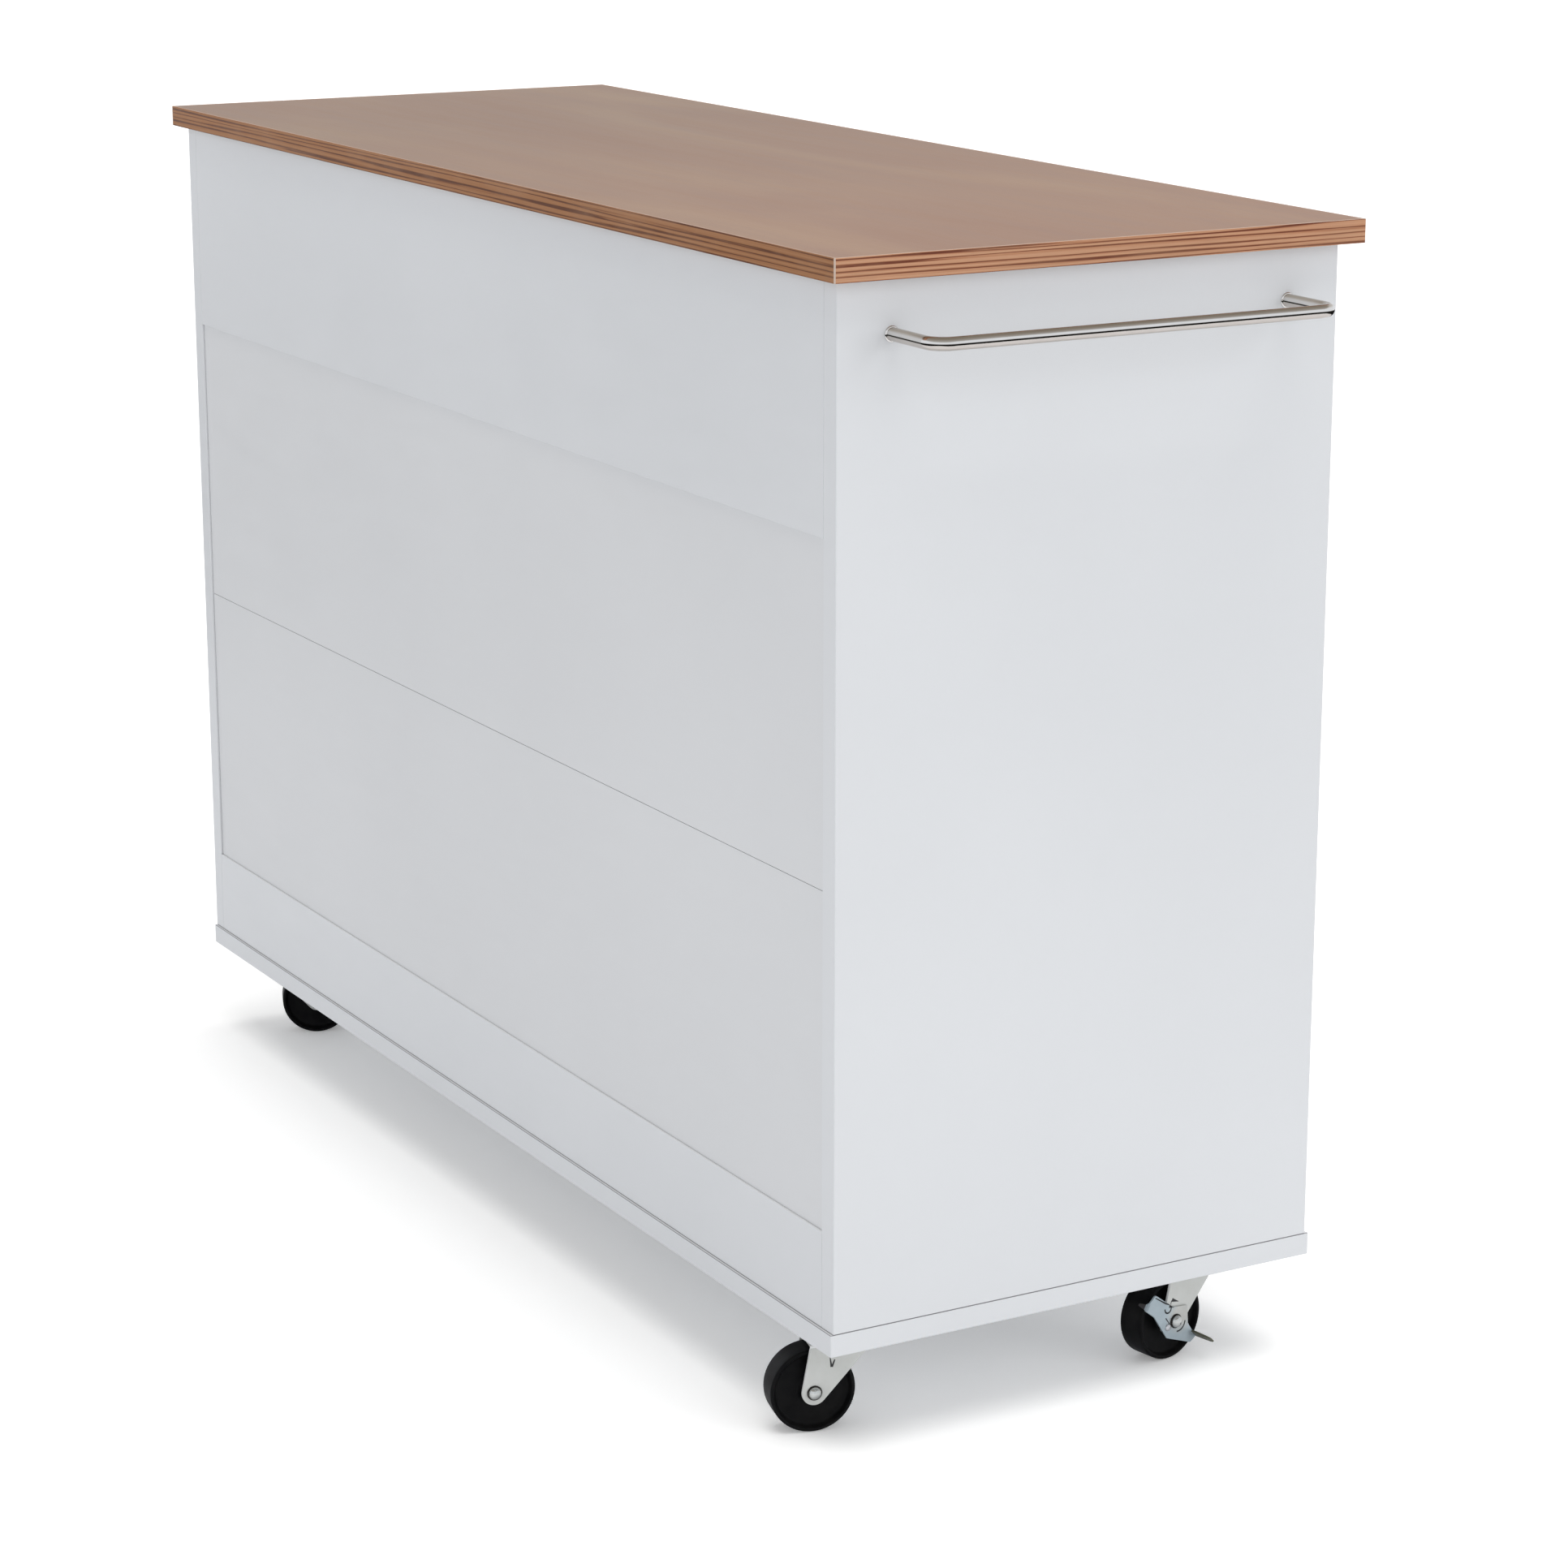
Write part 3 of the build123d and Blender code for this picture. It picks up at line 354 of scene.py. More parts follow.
def edge_band():
    """Printed edge band: dark streaks along each edge and a cream line where it meets the top."""
    look = Look("edge_band", roughness=0.45, specular=0.22)
    wander = look.noise(1.0, detail=3.0, roughness=0.6, vector=look.stretched((1.6, 1.6, 150)))
    wave = look.node("ShaderNodeTexWave", wave_type="BANDS", bands_direction="Z", wave_profile="SIN")
    look.feed(wave.inputs["Vector"], look.place)
    look.feed(wave.inputs["Phase Offset"], look.maths("MULTIPLY", wander, 16.0))
    wave.inputs["Scale"].default_value = STREAK_SCALE
    fine = look.noise(1.0, detail=4.0, roughness=0.55, vector=look.stretched((0.9, 0.9, 620)))
    lines = look.ramp(wave.outputs["Fac"], (0.0, 0.0), (0.30, 0.55), (1.0, 0.72))
    streaks = look.maths("ADD", look.maths("MULTIPLY", lines, 0.62), look.maths("MULTIPLY", fine, 0.38))
    drift = look.noise(1.0, detail=4.0, roughness=0.6, vector=look.stretched((14, 14, 60)))
    fibres = look.noise(1.0, detail=5.0, roughness=0.7, vector=look.stretched((30, 30, 1500)))
    long_side = look.ramp(
        streaks,
        (0.26, (0.120, 0.040, 0.016)),
        (0.44, (0.270, 0.108, 0.040)),
        (0.54, (0.335, 0.145, 0.056)),
        (0.70, (0.395, 0.190, 0.084)),
    )
    end_side = look.ramp(
        streaks,
        (0.26, (0.155, 0.044, 0.022)),
        (0.43, (0.390, 0.160, 0.078)),
        (0.52, (0.485, 0.230, 0.122)),
        (0.70, (0.600, 0.335, 0.200)),
    )
    printed = look.mix(look.ramp(look.facing("X"), (0.4, 0.0), (0.6, 1.0)), long_side, end_side)
    faded = look.mix(look.ramp(drift, (0.45, 0.0), (0.75, 0.35)), printed, (0.42, 0.235, 0.135))
    fibred = look.mix(look.ramp(fibres, (0.55, 0.0), (0.75, 0.25)), faded, (0.14, 0.06, 0.03))
    low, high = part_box("worktop_edge_bands")
    reach = (high.x - low.x) / 2 - EDGE_BAND_THICK
    from_middle = look.maths("SUBTRACT", look.axis(look.place, "X"), (high.x + low.x) / 2)
    on_end = look.maths("GREATER_THAN", look.maths("ABSOLUTE", from_middle), reach)
    cut_end = look.maths("MULTIPLY", on_end, look.maths("GREATER_THAN", look.facing("Y"), 0.5))
    over = look.ramp(look.facing("Z"), (0.3, 0.0), (0.6, 1.0))
    top = look.mix(on_end, (0.42, 0.27, 0.19), (0.64, 0.45, 0.33))
    final = look.mix(cut_end, look.mix(over, fibred, top), (0.62, 0.49, 0.40))
    look.bump(fibres, 0.10, 0.0003)
    return look.finish(final, look.ramp(streaks, (0.3, 0.36), (0.7, 0.48)))


def polished_metal(name, painted_reflections):
    """Polished nickel with faint smudges; one with painted reflections is warm and darker on top, with a
    bright band above its middle, a near-black line along its middle and paler below.
    """
    look = Look(name, roughness=0.10, metallic=1.0)
    smudge = look.noise(34, detail=4.0, roughness=0.6)
    polish = look.noise(1.0, detail=4.0, vector=look.stretched((600, 40, 600)))
    look.bump(polish, 0.03, 0.0002)
    colour = look.ramp(smudge, (0.3, (0.76, 0.74, 0.71)), (0.7, (0.82, 0.80, 0.78)))
    if painted_reflections:
        # Painted reflections: the colour follows the surface's slope, not the lights round it.
        up = look.axis(look.node("ShaderNodeNewGeometry").outputs["Normal"], "Z")
        reflection_bands = look.ramp(
            look.maths("MULTIPLY", look.maths("ADD", up, 1.0), 0.5),
            (0.0, (0.62, 0.57, 0.53)),
            (0.33, (0.86, 0.82, 0.80)),
            (0.425, (0.80, 0.77, 0.74)),
            (0.455, (0.02, 0.015, 0.01)),
            (0.525, (0.03, 0.025, 0.02)),
            (0.565, (1.0, 1.0, 1.0)),
            (0.74, (1.0, 1.0, 1.0)),
            (0.88, (0.66, 0.60, 0.52)),
            (1.0, (0.54, 0.48, 0.41)),
        )
        colour = look.mix(1.0, colour, reflection_bands, "MULTIPLY")
    return look.finish(colour, look.ramp(smudge, (0.35, 0.07), (0.75, 0.17)))


def plated_steel(name, tint, rough, brush):
    """Zinc plate: a fine brushed grain, cloudy tone, duller patches and painted shade in its crevices."""
    look = Look(name, roughness=rough, metallic=1.0)
    cloud = look.noise(60, detail=5.0, roughness=0.6)
    grain = look.noise(1.0, detail=5.0, roughness=0.7, vector=look.stretched(brush))
    darker = tuple(channel * 0.80 for channel in tint)
    colour = look.ramp(cloud, (0.3, darker), (0.7, tint))
    look.bump(grain, 0.10, 0.0003)
    gloss = look.ramp(cloud, (0.3, rough - 0.06), (0.75, rough + 0.10))
    # Painted shade: near-black in gaps and inside corners within 1.2 mm.
    return look.finish(look.painted_seam_shade(colour, (0.02, 0.02, 0.022), 0.0012), gloss)


def bolt_steel():
    """A polished dome in a head with a painted dark ring of shade round the dome's foot, brushed and
    smudged.
    """
    look = Look("bolt_steel", roughness=0.15, metallic=1.0)
    # Painted shade: a near-black ring round the dome, on the head's side only.
    rim = look.band(look.distance((0, 0)), BOLT_SHADE_RING * MM, BOLT_SHADE_RING_HALF * MM, 0.15 * MM)
    head = look.maths("GREATER_THAN", look.axis(look.place, "Y"), 0.0)
    cloud = look.noise(140, detail=5.0, roughness=0.6)
    colour = look.ramp(cloud, (0.3, (0.52, 0.53, 0.51)), (0.7, (0.74, 0.75, 0.73)))
    ring_shaded = look.mix(look.maths("MULTIPLY", rim, head), colour, (0.035, 0.032, 0.030))
    look.bump(look.noise(1.0, detail=5.0, vector=look.stretched((900, 60, 900))), 0.08, 0.0003)
    return look.finish(ring_shaded, look.ramp(cloud, (0.3, 0.10), (0.75, 0.24)))


def brake_plate():
    """Blue-grey plated sheet, warmer round its pivot, with pressed marks in its outer face that are
    dented and painted near-black as shade, and its shoe and tab painted dark as shade.
    """
    look = Look("brake_zinc", roughness=0.42, metallic=0.35, specular=0.5)
    cloud = look.noise(90, detail=4.0, roughness=0.55)
    cool = look.ramp(cloud, (0.3, (0.395, 0.465, 0.500)), (0.7, (0.455, 0.530, 0.565)))
    warm = look.ramp(cloud, (0.3, (0.520, 0.520, 0.490)), (0.7, (0.575, 0.575, 0.545)))
    away = look.maths("DIVIDE", look.distance(LEVER_WARM_CENTRE), LEVER_WARM_REACH * MM)
    toned = look.mix(look.ramp(away, (0.36, 1.0), (0.85, 0.0)), cool, warm)
    # Painted shade: the marks are dented and painted near-black as the shade in slits, grooves and gaps.
    marks = [look.line_mark(*line) for line in LEVER_LINES]
    marks += [look.curve_mark(*curve) for curve in LEVER_CURVES]
    out = look.axis(look.place, "Y")
    outer = look.maths("GREATER_THAN", out, (LEVER_OUT - 0.4) * MM)
    pressed = look.maths("MULTIPLY", look.either(*marks), outer)
    # Painted shade: the tab bent out is painted dark olive and the shoe bent in dark grey.
    tab = look.maths("GREATER_THAN", out, (LEVER_OUT + 0.6) * MM)
    shoe = look.maths("LESS_THAN", out, (LEVER_IN - 0.8) * MM)
    shaded_tab_and_shoe = look.mix(shoe, look.mix(tab, toned, (0.115, 0.112, 0.075)), (0.060, 0.055, 0.055))
    final = look.mix(pressed, shaded_tab_and_shoe, (0.012, 0.011, 0.012))
    look.bump(look.maths("SUBTRACT", 1.0, pressed), 0.8, 0.0006)
    look.bump(look.noise(1.0, detail=4.0, vector=look.stretched((220, 220, 900))), 0.06, 0.0003)
    return look.finish(final, look.ramp(cloud, (0.3, 0.36), (0.75, 0.50)))


def fork_paint(name, lances):
    """Satin light grey enamel over pressed steel, with a painted highlight along the cut edges and lanced
    marks outside each leg, dented and painted near-black as the shade in the slits.
    """
    look = Look(name, roughness=0.38, specular=0.5)
    tone = look.noise(45, detail=4.0, roughness=0.55)
    colour = look.ramp(tone, (0.3, (0.575, 0.580, 0.545)), (0.7, (0.640, 0.645, 0.615)))
    dirt = look.ramp(look.noise(260, detail=4.0), (0.62, 0.0), (0.80, 0.30))
    dusty = look.mix(dirt, colour, (0.44, 0.43, 0.40))
    out = look.maths("ABSOLUTE", look.axis(look.place, "Y"))
    # Painted highlight: the cut edges of the sheet are painted near-white.
    edge_highlight = look.band(out, (FORK_OUT - FORK_SHEET / 2) * MM, 0.65 * MM, 0.15 * MM)
    edge_highlighted = look.mix(edge_highlight, dusty, (0.95, 0.95, 0.93))
    # Painted shade: the lanced slits are dented and painted near-black.
    lanced = look.either(*[look.line_mark(*lance) for lance in lances])
    side = look.maths("GREATER_THAN", out, (FORK_OUT - 0.5) * MM)
    mark = look.maths("MULTIPLY", lanced, side)
    look.bump(look.maths("SUBTRACT", 1.0, mark), 0.8, 0.0006)
    look.bump(look.noise(700, detail=2.0), 0.10, 0.0004)
    lance_shaded = look.mix(mark, edge_highlighted, (0.012, 0.012, 0.012))
    return look.finish(lance_shaded, look.ramp(tone, (0.3, 0.32), (0.75, 0.46)))


def wheel_plastic():
    """Moulded black plastic, greyer and duller where it has picked up floor dust."""
    look = Look("wheel_plastic", roughness=0.48, specular=0.08)
    dust = look.noise(55, detail=6.0, roughness=0.65)
    colour = look.ramp(dust, (0.40, (0.0035, 0.0035, 0.004)), (0.80, (0.012, 0.0115, 0.011)))
    look.bump(look.noise(1500, detail=2.0), 0.15, 0.0003)
    return look.finish(colour, look.ramp(dust, (0.3, 0.34), (0.75, 0.58)))


LOOKS = {
    "worktop_wood": worktop_wood(),
    "edge_band": edge_band(),
    "white_board": white_board("white_board", (0.735, 0.745, 0.755), (0.705, 0.715, 0.725), 0.36),
    "back_hardboard": white_board("back_hardboard", (0.72, 0.725, 0.73), (0.69, 0.695, 0.70), 0.44),
    "drawer_board": white_board("drawer_board", (0.74, 0.74, 0.73), (0.70, 0.70, 0.69), 0.50),
    "bright_metal": polished_metal("bright_metal", False),
    "zinc_steel": plated_steel("zinc_steel", (0.66, 0.67, 0.69), 0.30, (900, 900, 60)),
    "brake_zinc": brake_plate(),
    "fork_paint": fork_paint("fork_paint", PLAIN_LANCES),
    "wheel_plastic": wheel_plastic(),
}
REFLECTION_PAINTED_METAL = polished_metal("reflection_painted_metal", True)
BRAKED_FORK = fork_paint("fork_paint_braked", BRAKED_LANCES)
BOLT_STEEL = bolt_steel()
SLOT_OF = {row["node"]: row["material_slot"] for row in frame["record"]["subparts"]}

for node, part in NODES.items():
    for place in part.material_slots:
        place.material = LOOKS[SLOT_OF[node]]

# ---- Mesh building ---------------------------------------
# Shapes are built in millimetres, and scaled when they become a mesh.

SMOOTH_UNDER = math.radians(38)
MERGE = 0.0005
TINY = 1e-6
WHEEL_SEGMENTS = 96
ROUND_SEGMENTS = 56
SCREW_SEGMENTS = 48
SHANK_SEGMENTS = 40
RIVET_SEGMENTS = 36
CORNER_STEPS = 6


def as_mesh(form, name):
    """Turns a form in millimetres into a smooth mesh in metres."""
    bmesh.ops.scale(form, vec=(MM, MM, MM), verts=form.verts)
    mesh = bpy.data.meshes.new(name)
    form.to_mesh(mesh)
    form.free()
    mesh.shade_smooth()
    return mesh


def finish_mesh(form, name, smooth_under=SMOOTH_UNDER):
    """Joins a form's doubled points, faces it outwards and keeps its sharp edges sharp."""
    bmesh.ops.remove_doubles(form, verts=form.verts, dist=MERGE)
    bmesh.ops.recalc_face_normals(form, faces=form.faces)
    mesh = as_mesh(form, name)
    mesh.set_sharp_from_angle(angle=smooth_under)
    return mesh


def lay_grid(form, rows, close_rows=False, close_columns=False):
    """Faces between rows of points; a closed direction joins its last line to its first."""
    corners = [[form.verts.new(point) for point in row] for row in rows]
    row_count = len(corners)
    column_count = len(corners[0])
    for i in range(row_count if close_rows else row_count - 1):
        for j in range(column_count if close_columns else column_count - 1):
            here, over = corners[i], corners[(i + 1) % row_count]
            k = (j + 1) % column_count
            form.faces.new((here[j], here[k], over[k], over[j]))
    return corners


def lathe(form, profile, segments, place):
    """Turns a profile of (along, radius) about the Z axis of a place."""
    rings = []
    for along, radius in profile:
        ring = []
        for step in range(segments):
            turn = 2 * math.pi * step / segments
            ring.append(place @ Vector((radius * math.cos(turn), radius * math.sin(turn), along)))
        rings.append(ring)
    lay_grid(form, rings, close_columns=True)


def arc(centre, radius, start, end, steps):
    """Points on a circle from one angle to another, in degrees."""
    points = []
    for step in range(steps + 1):
        angle = math.radians(start + (end - start) * step / steps)
        points.append((centre[0] + radius * math.cos(angle), centre[1] + radius * math.sin(angle)))
    return points


def round_corners(outline, radii):
    """A closed outline with an arc at each corner."""
    rounded = []
    count = len(outline)
    for index, radius in enumerate(radii):
        corner = Vector(outline[index])
        before = (Vector(outline[index - 1]) - corner).normalized()
        after = (Vector(outline[(index + 1) % count]) - corner).normalized()
        half = before.angle(after) / 2
        middle = corner + (before + after).normalized() * (radius / math.sin(half))
        first = corner + before * (radius / math.tan(half)) - middle
        last = corner + after * (radius / math.tan(half)) - middle
        sweep = first.angle_signed(last)
        for step in range(CORNER_STEPS + 1):
            turned = first.copy()
            turned.rotate(Matrix.Rotation(-sweep * step / CORNER_STEPS, 2))
            rounded.append(tuple(middle + turned))
    return rounded


def plate(form, outline, low, high, bevel):
    """A flat plate between two heights, with every edge rounded."""
    corners = [form.verts.new((x, y, low)) for x, y in outline]
    face = form.faces.new(corners)
    made = bmesh.ops.extrude_face_region(form, geom=[face])["geom"]
    upper = [item for item in made if isinstance(item, bmesh.types.BMVert)]
    bmesh.ops.translate(form, vec=(0, 0, high - low), verts=upper)
    body = set(corners) | set(upper)
    rims = []
    for edge in form.edges:
        ends = edge.verts
        if set(ends) <= body and abs(ends[0].co.z - ends[1].co.z) < TINY:
            rims.append(edge)
    bmesh.ops.bevel(
        form, geom=rims, offset=bevel, segments=2, profile=0.5, affect="EDGES", clamp_overlap=True
    )


def loft(form, rings):
    """A closed solid through rings of points, with a face across each end."""
    corners = lay_grid(form, rings, close_columns=True)
    form.faces.new(corners[0])
    form.faces.new(corners[-1])


def tube(form, path, radii, segments, side):
    """A round bar along a flat path whose plane has the normal `side`."""
    rings = []
    for index, (point, radius) in enumerate(zip(path, radii)):
        ahead = (path[min(index + 1, len(path) - 1)] - path[max(index - 1, 0)]).normalized()
        across = ahead.cross(side).normalized()
        ring = []
        for step in range(segments):
            turn = 2 * math.pi * step / segments
            ring.append(point + (across * math.cos(turn) + side * math.sin(turn)) * radius)
        rings.append(ring)
    loft(form, rings)


def add_piece(name, mesh, slot, body, place, *replaced):
    """Puts a mesh in the scene on a body, in place of any CAD nodes that it replaces."""
    if not mesh.materials:
        mesh.materials.append(LOOKS[slot])
    piece = bpy.data.objects.new(name, mesh)
    bpy.context.scene.collection.objects.link(piece)
    piece.matrix_world = place
    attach(piece, body)
    if replaced:
        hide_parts(*replaced)
    return piece


# ---- Screws ----------------------------------------------

SCREW_ROLLS = (0.35, 1.10)  # how far each head of a pair is turned
# A head's cross and rim, as shares of its radius; its heights, as shares of its thickness.
CROSS_HALF = 0.15
CROSS_ARM = 0.62
CROSS_WALL = 0.03
RIM_HEIGHT = 0.35
CROSS_DEPTH = 0.60
CROSS_MIDDLE_DEPTH = 0.75
HEAD_LINES = (0, CROSS_HALF, CROSS_HALF + CROSS_WALL, CROSS_ARM, CROSS_ARM + CROSS_WALL, 0.78, 0.92, 1.0)


def head_height(x, y, out):
    """The height of a screw head at a place in its square grid, `out` from its middle."""
    height = RIM_HEIGHT + (1 - RIM_HEIGHT) * math.sqrt(max(0.0, 1 - out ** 2.6))
    near, far = sorted((abs(x), abs(y)))
    if near > CROSS_HALF + TINY or far > CROSS_ARM + TINY:
        return height
    at_middle = near < TINY and far < CROSS_HALF + TINY
    return height - (CROSS_MIDDLE_DEPTH if at_middle else CROSS_DEPTH)


def screw_head(form, place, radius, thick):
    """A cross-recessed head that stands on the plane Z = 0 and points along +Z."""
    lines = sorted({side * at for side in (-1, 1) for at in HEAD_LINES})
    rows = []
    for y in lines:
        row = []
        for x in lines:
            flat_x = x * math.sqrt(1 - y * y / 2)
            flat_y = y * math.sqrt(1 - x * x / 2)
            out = min(1.0, math.hypot(flat_x, flat_y))
            height = thick * head_height(x, y, out)
            row.append(place @ Vector((flat_x * radius, flat_y * radius, height)))
        rows.append(row)
    lay_grid(form, rows)
    lathe(form, [(0.0, radius), (thick * RIM_HEIGHT, radius)], SCREW_SEGMENTS, place)


# ---- Bars: the towel bar and the handles -----------------

SCREW_HEAD_RADIUS = 4.0
SCREW_HEAD_THICK = 2.4
BOARD = 18.0
TOWEL = {"spacing": 345.0, "standoff": 60.0, "radius": 5.0, "bend": 14.0}
HANDLE = {"spacing": 128.0, "standoff": 30.0, "radius": 5.0, "bend": 12.0}
COLLAR = ((0.0, 5.0), (0.0, 6.0), (0.5, 6.05), (0.9, 5.7), (1.2, 5.2), (1.2, 5.0))  # (out, radius)
FOOT_STEPS = (0.0, 1.0, 2.2)
FOOT_SHARE = 0.96  # a bar's foot is slightly drawn in
BEND_STEPS = 14
RUN_STEPS = 10


def u_bend(spacing, standoff, bend):
    """A U-shaped path from foot to foot, as (along, out) with the feet at out = 0."""
    half = spacing / 2
    run = spacing - 2 * bend
    foot = [(-half, out) for out in FOOT_STEPS]
    first = arc((-half + bend, standoff - bend), bend, 180, 90, BEND_STEPS)
    middle = [(run * (step / RUN_STEPS - 0.5), standoff) for step in range(1, RUN_STEPS)]
    last = arc((half - bend, standoff - bend), bend, 90, 0, BEND_STEPS)
    return foot + first + middle + last + [(-along, out) for along, out in reversed(foot)]


def bar_mesh(name, spacing, standoff, radius, bend):
    """A bent bar in its own place: X along it, Z out from the board, feet on Z = 0."""
    form = bmesh.new()
    path = [Vector((along, 0, out)) for along, out in u_bend(spacing, standoff, bend)]
    radii = [radius for _ in path]
    radii[0] = radii[-1] = radius * FOOT_SHARE
    tube(form, path, radii, SHANK_SEGMENTS, Vector((0, 1, 0)))
    return finish_mesh(form, name)


def bar_screw_mesh(name, spacing):
    """The heads of a bar's two screws, on the back of its board."""
    form = bmesh.new()
    for end, roll in zip((-1, 1), SCREW_ROLLS):
        back = Matrix.Translation((end * spacing / 2, 0, -BOARD)) @ Matrix.Rotation(math.pi, 4, "X")
        place = back @ Matrix.Rotation(roll, 4, "Z")
        screw_head(form, place, SCREW_HEAD_RADIUS, SCREW_HEAD_THICK)
    return finish_mesh(form, name)


def bar_place(node, bar, along, outward):
    """The place of a bar, worked out from the outer side of its node's box."""
    low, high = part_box(node)
    origin = (low + high) / 2
    reach = (bar["standoff"] + bar["radius"]) * MM
    for axis in range(3):
        if outward[axis] > 0:
            origin[axis] = high[axis] - reach
        elif outward[axis] < 0:
            origin[axis] = low[axis] + reach
    turn = Matrix((along, outward.cross(along), outward)).transposed().to_4x4()
    return Matrix.Translation(origin) @ turn


def collar_mesh():
    """Two thin flared rings where the towel bar meets the panel."""
    form = bmesh.new()
    for end in (-1, 1):
        foot = Matrix.Translation((end * TOWEL["spacing"] / 2, 0, 0))
        lathe(form, COLLAR, ROUND_SEGMENTS, foot)
    return finish_mesh(form, "towel_bar_collars")


def add_bars():
    out = Vector((-1, 0, 0))
    place = bar_place("towel_bar", TOWEL, Vector((0, 1, 0)), out)
    bar = bar_mesh("towel_bar", **TOWEL)
    bar.materials.append(REFLECTION_PAINTED_METAL)
    add_piece("towel_bar_polished", bar, "bright_metal", "root", place, "towel_bar")
    add_piece("towel_bar_feet", collar_mesh(), "bright_metal", "root", place, "towel_bar_collars")
    screws = bar_screw_mesh("towel_bar_screws", TOWEL["spacing"])
    add_piece("towel_bar_screw_heads", screws, "zinc_steel", "root", place, "towel_bar_screws")
    handle = bar_mesh("handle", **HANDLE)
    heads = bar_screw_mesh("handle_screws", HANDLE["spacing"])
    out = Vector((0, -1, 0))
    bars = [(f"{side}_drawer_handle", Vector((1, 0, 0))) for side in SIDES]
    bars += [(f"{door}_door_handle", Vector((0, 0, 1))) for door in DOORS]
    for node, along in bars:
        place = bar_place(node, HANDLE, along, out)
        add_piece(f"{node}_polished", handle, "bright_metal", BODY_OF[node], place, node)
        add_piece(f"{node}_screw_heads", heads, "zinc_steel", BODY_OF[node], place)


# ---- Casters ---------------------------------------------

FORK_ACROSS_STEPS = 20
FORK_ROUND_STEPS = 12
FORK_LEG_STEPS = 16
FORK_BEND_STEPS = 6
FORK_END_STEPS = 72
LUG_STEPS = 36
FORK_BEVEL = 0.45
AXLE_RADIUS = 4.0
BOLT_HEAD_RADIUS = 6.0
BOLT_DOME_RADIUS = 5.1
BOLT_DOME_RISE = 3.9
BOLT_SHOULDER = 1.0
BOLT_END_RADIUS = 3.3
BOLT_STUB = 1.5  # past the nut
BOLT_CHAMFER = 0.9
NUT_FLATS = 13.0
NUT_THICK = 5.0
POINT = 0.02  # the radius at which a turned shape closes
RACE_TOP = 42.5
BORE = 4.05
HUB_HALF = 13.0
WEB_HALF = 6.5
TREAD_HALF = 11.9
TREAD_FLAT_HALF = 6.0
TREAD_ROUND = 2.0
TREAD_FALL = 0.1  # how much lower the tread's shoulders are
FLOOR_GAP = 0.05
ACROSS = Matrix.Rotation(-math.pi / 2, 4, "X")  # turns Z to point along the axle


def caster_place(corner):
    axle = Vector(JOINTS[f"{corner}_spin"]["pos_m"])
    pin = Vector(JOINTS[f"{corner}_swivel"]["pos_m"])
    behind = axle - pin
    behind.z = 0
    behind.normalize()
    turn = Matrix((behind, UP.cross(behind), UP)).transposed().to_4x4()
    return Matrix.Translation(axle) @ turn


def hull_of(points):
    """The convex hull of flat points, anticlockwise."""
    points = sorted(set(points))

    def chain(run):
        kept = []
        for point in run:
            while len(kept) > 1:
                (ax, ay), (bx, by) = kept[-2], kept[-1]
                if (bx - ax) * (point[1] - ay) - (by - ay) * (point[0] - ax) > 0:
                    break
                kept.pop()
            kept.append(point)
        return kept[:-1]

    return chain(points) + chain(list(reversed(points)))


def span_at(hull, height):
    """How far the hull reaches each way at a height."""
    crossings = []
    for (ax, ay), (bx, by) in zip(hull, hull[1:] + hull[:1]):
        if min(ay, by) <= height <= max(ay, by):
            share = 0.5 if ay == by else (height - ay) / (by - ay)
            crossings += [ax, bx] if ay == by else [ax + (bx - ax) * share]
    return min(crossings), max(crossings)


def fork_mesh(name, braked):
    """A pressed fork as one bent sheet: up one leg, over the crown and down the other."""
    circle = arc((0, 0), FORK_END, 0, 360, FORK_END_STEPS)
    lug = arc(BRAKE_PIVOT, BRAKE_LUG, 0, 360, LUG_STEPS) if braked else []
    crown = [(x, z) for x in CROWN for z in (CROWN_TOP - CROWN_SKIRT, CROWN_TOP)]
    hull = hull_of(circle + lug + crown)
    foot = min(z for _, z in hull)
    shoulder = CROWN_TOP - CROWN_BEND
    turns = [math.pi / 2 * step / FORK_ROUND_STEPS for step in range(FORK_ROUND_STEPS)]
    leg = [(FORK_OUT, foot * math.cos(turn)) for turn in turns]
    leg += [(FORK_OUT, shoulder * step / FORK_LEG_STEPS) for step in range(FORK_LEG_STEPS + 1)]
    bend = arc((FORK_OUT - CROWN_BEND, shoulder), CROWN_BEND, 0, 90, FORK_BEND_STEPS)[1:]
    half = leg + bend
    section = half + [(-y, z) for y, z in reversed(half)]
    shares = [step / FORK_ACROSS_STEPS for step in range(FORK_ACROSS_STEPS + 1)]
    rows = []
    for y, z in section:
        low, high = span_at(hull, max(foot, min(z, CROWN_TOP)))
        rows.append([Vector((low + (high - low) * share, y, z)) for share in shares])
    form = bmesh.new()
    lay_grid(form, rows)
    bmesh.ops.remove_doubles(form, verts=form.verts, dist=MERGE)
    bmesh.ops.recalc_face_normals(form, faces=form.faces)
    top = max(form.faces, key=lambda face: face.calc_center_median().z)
    if top.normal.z < 0:
        bmesh.ops.reverse_faces(form, faces=form.faces)
    return as_mesh(form, name)


def thicken(piece, thickness, bevel):
    """Gives a single sheet its thickness inwards, and rounds the cut edges."""
    solid = piece.modifiers.new("sheet", "SOLIDIFY")
    solid.thickness = thickness * MM
    solid.offset = -1
    solid.use_even_offset = True
    rounded = piece.modifiers.new("edges", "BEVEL")
    rounded.width = bevel * MM
    rounded.segments = 2
    rounded.limit_method = "ANGLE"
    rounded.angle_limit = math.radians(50)


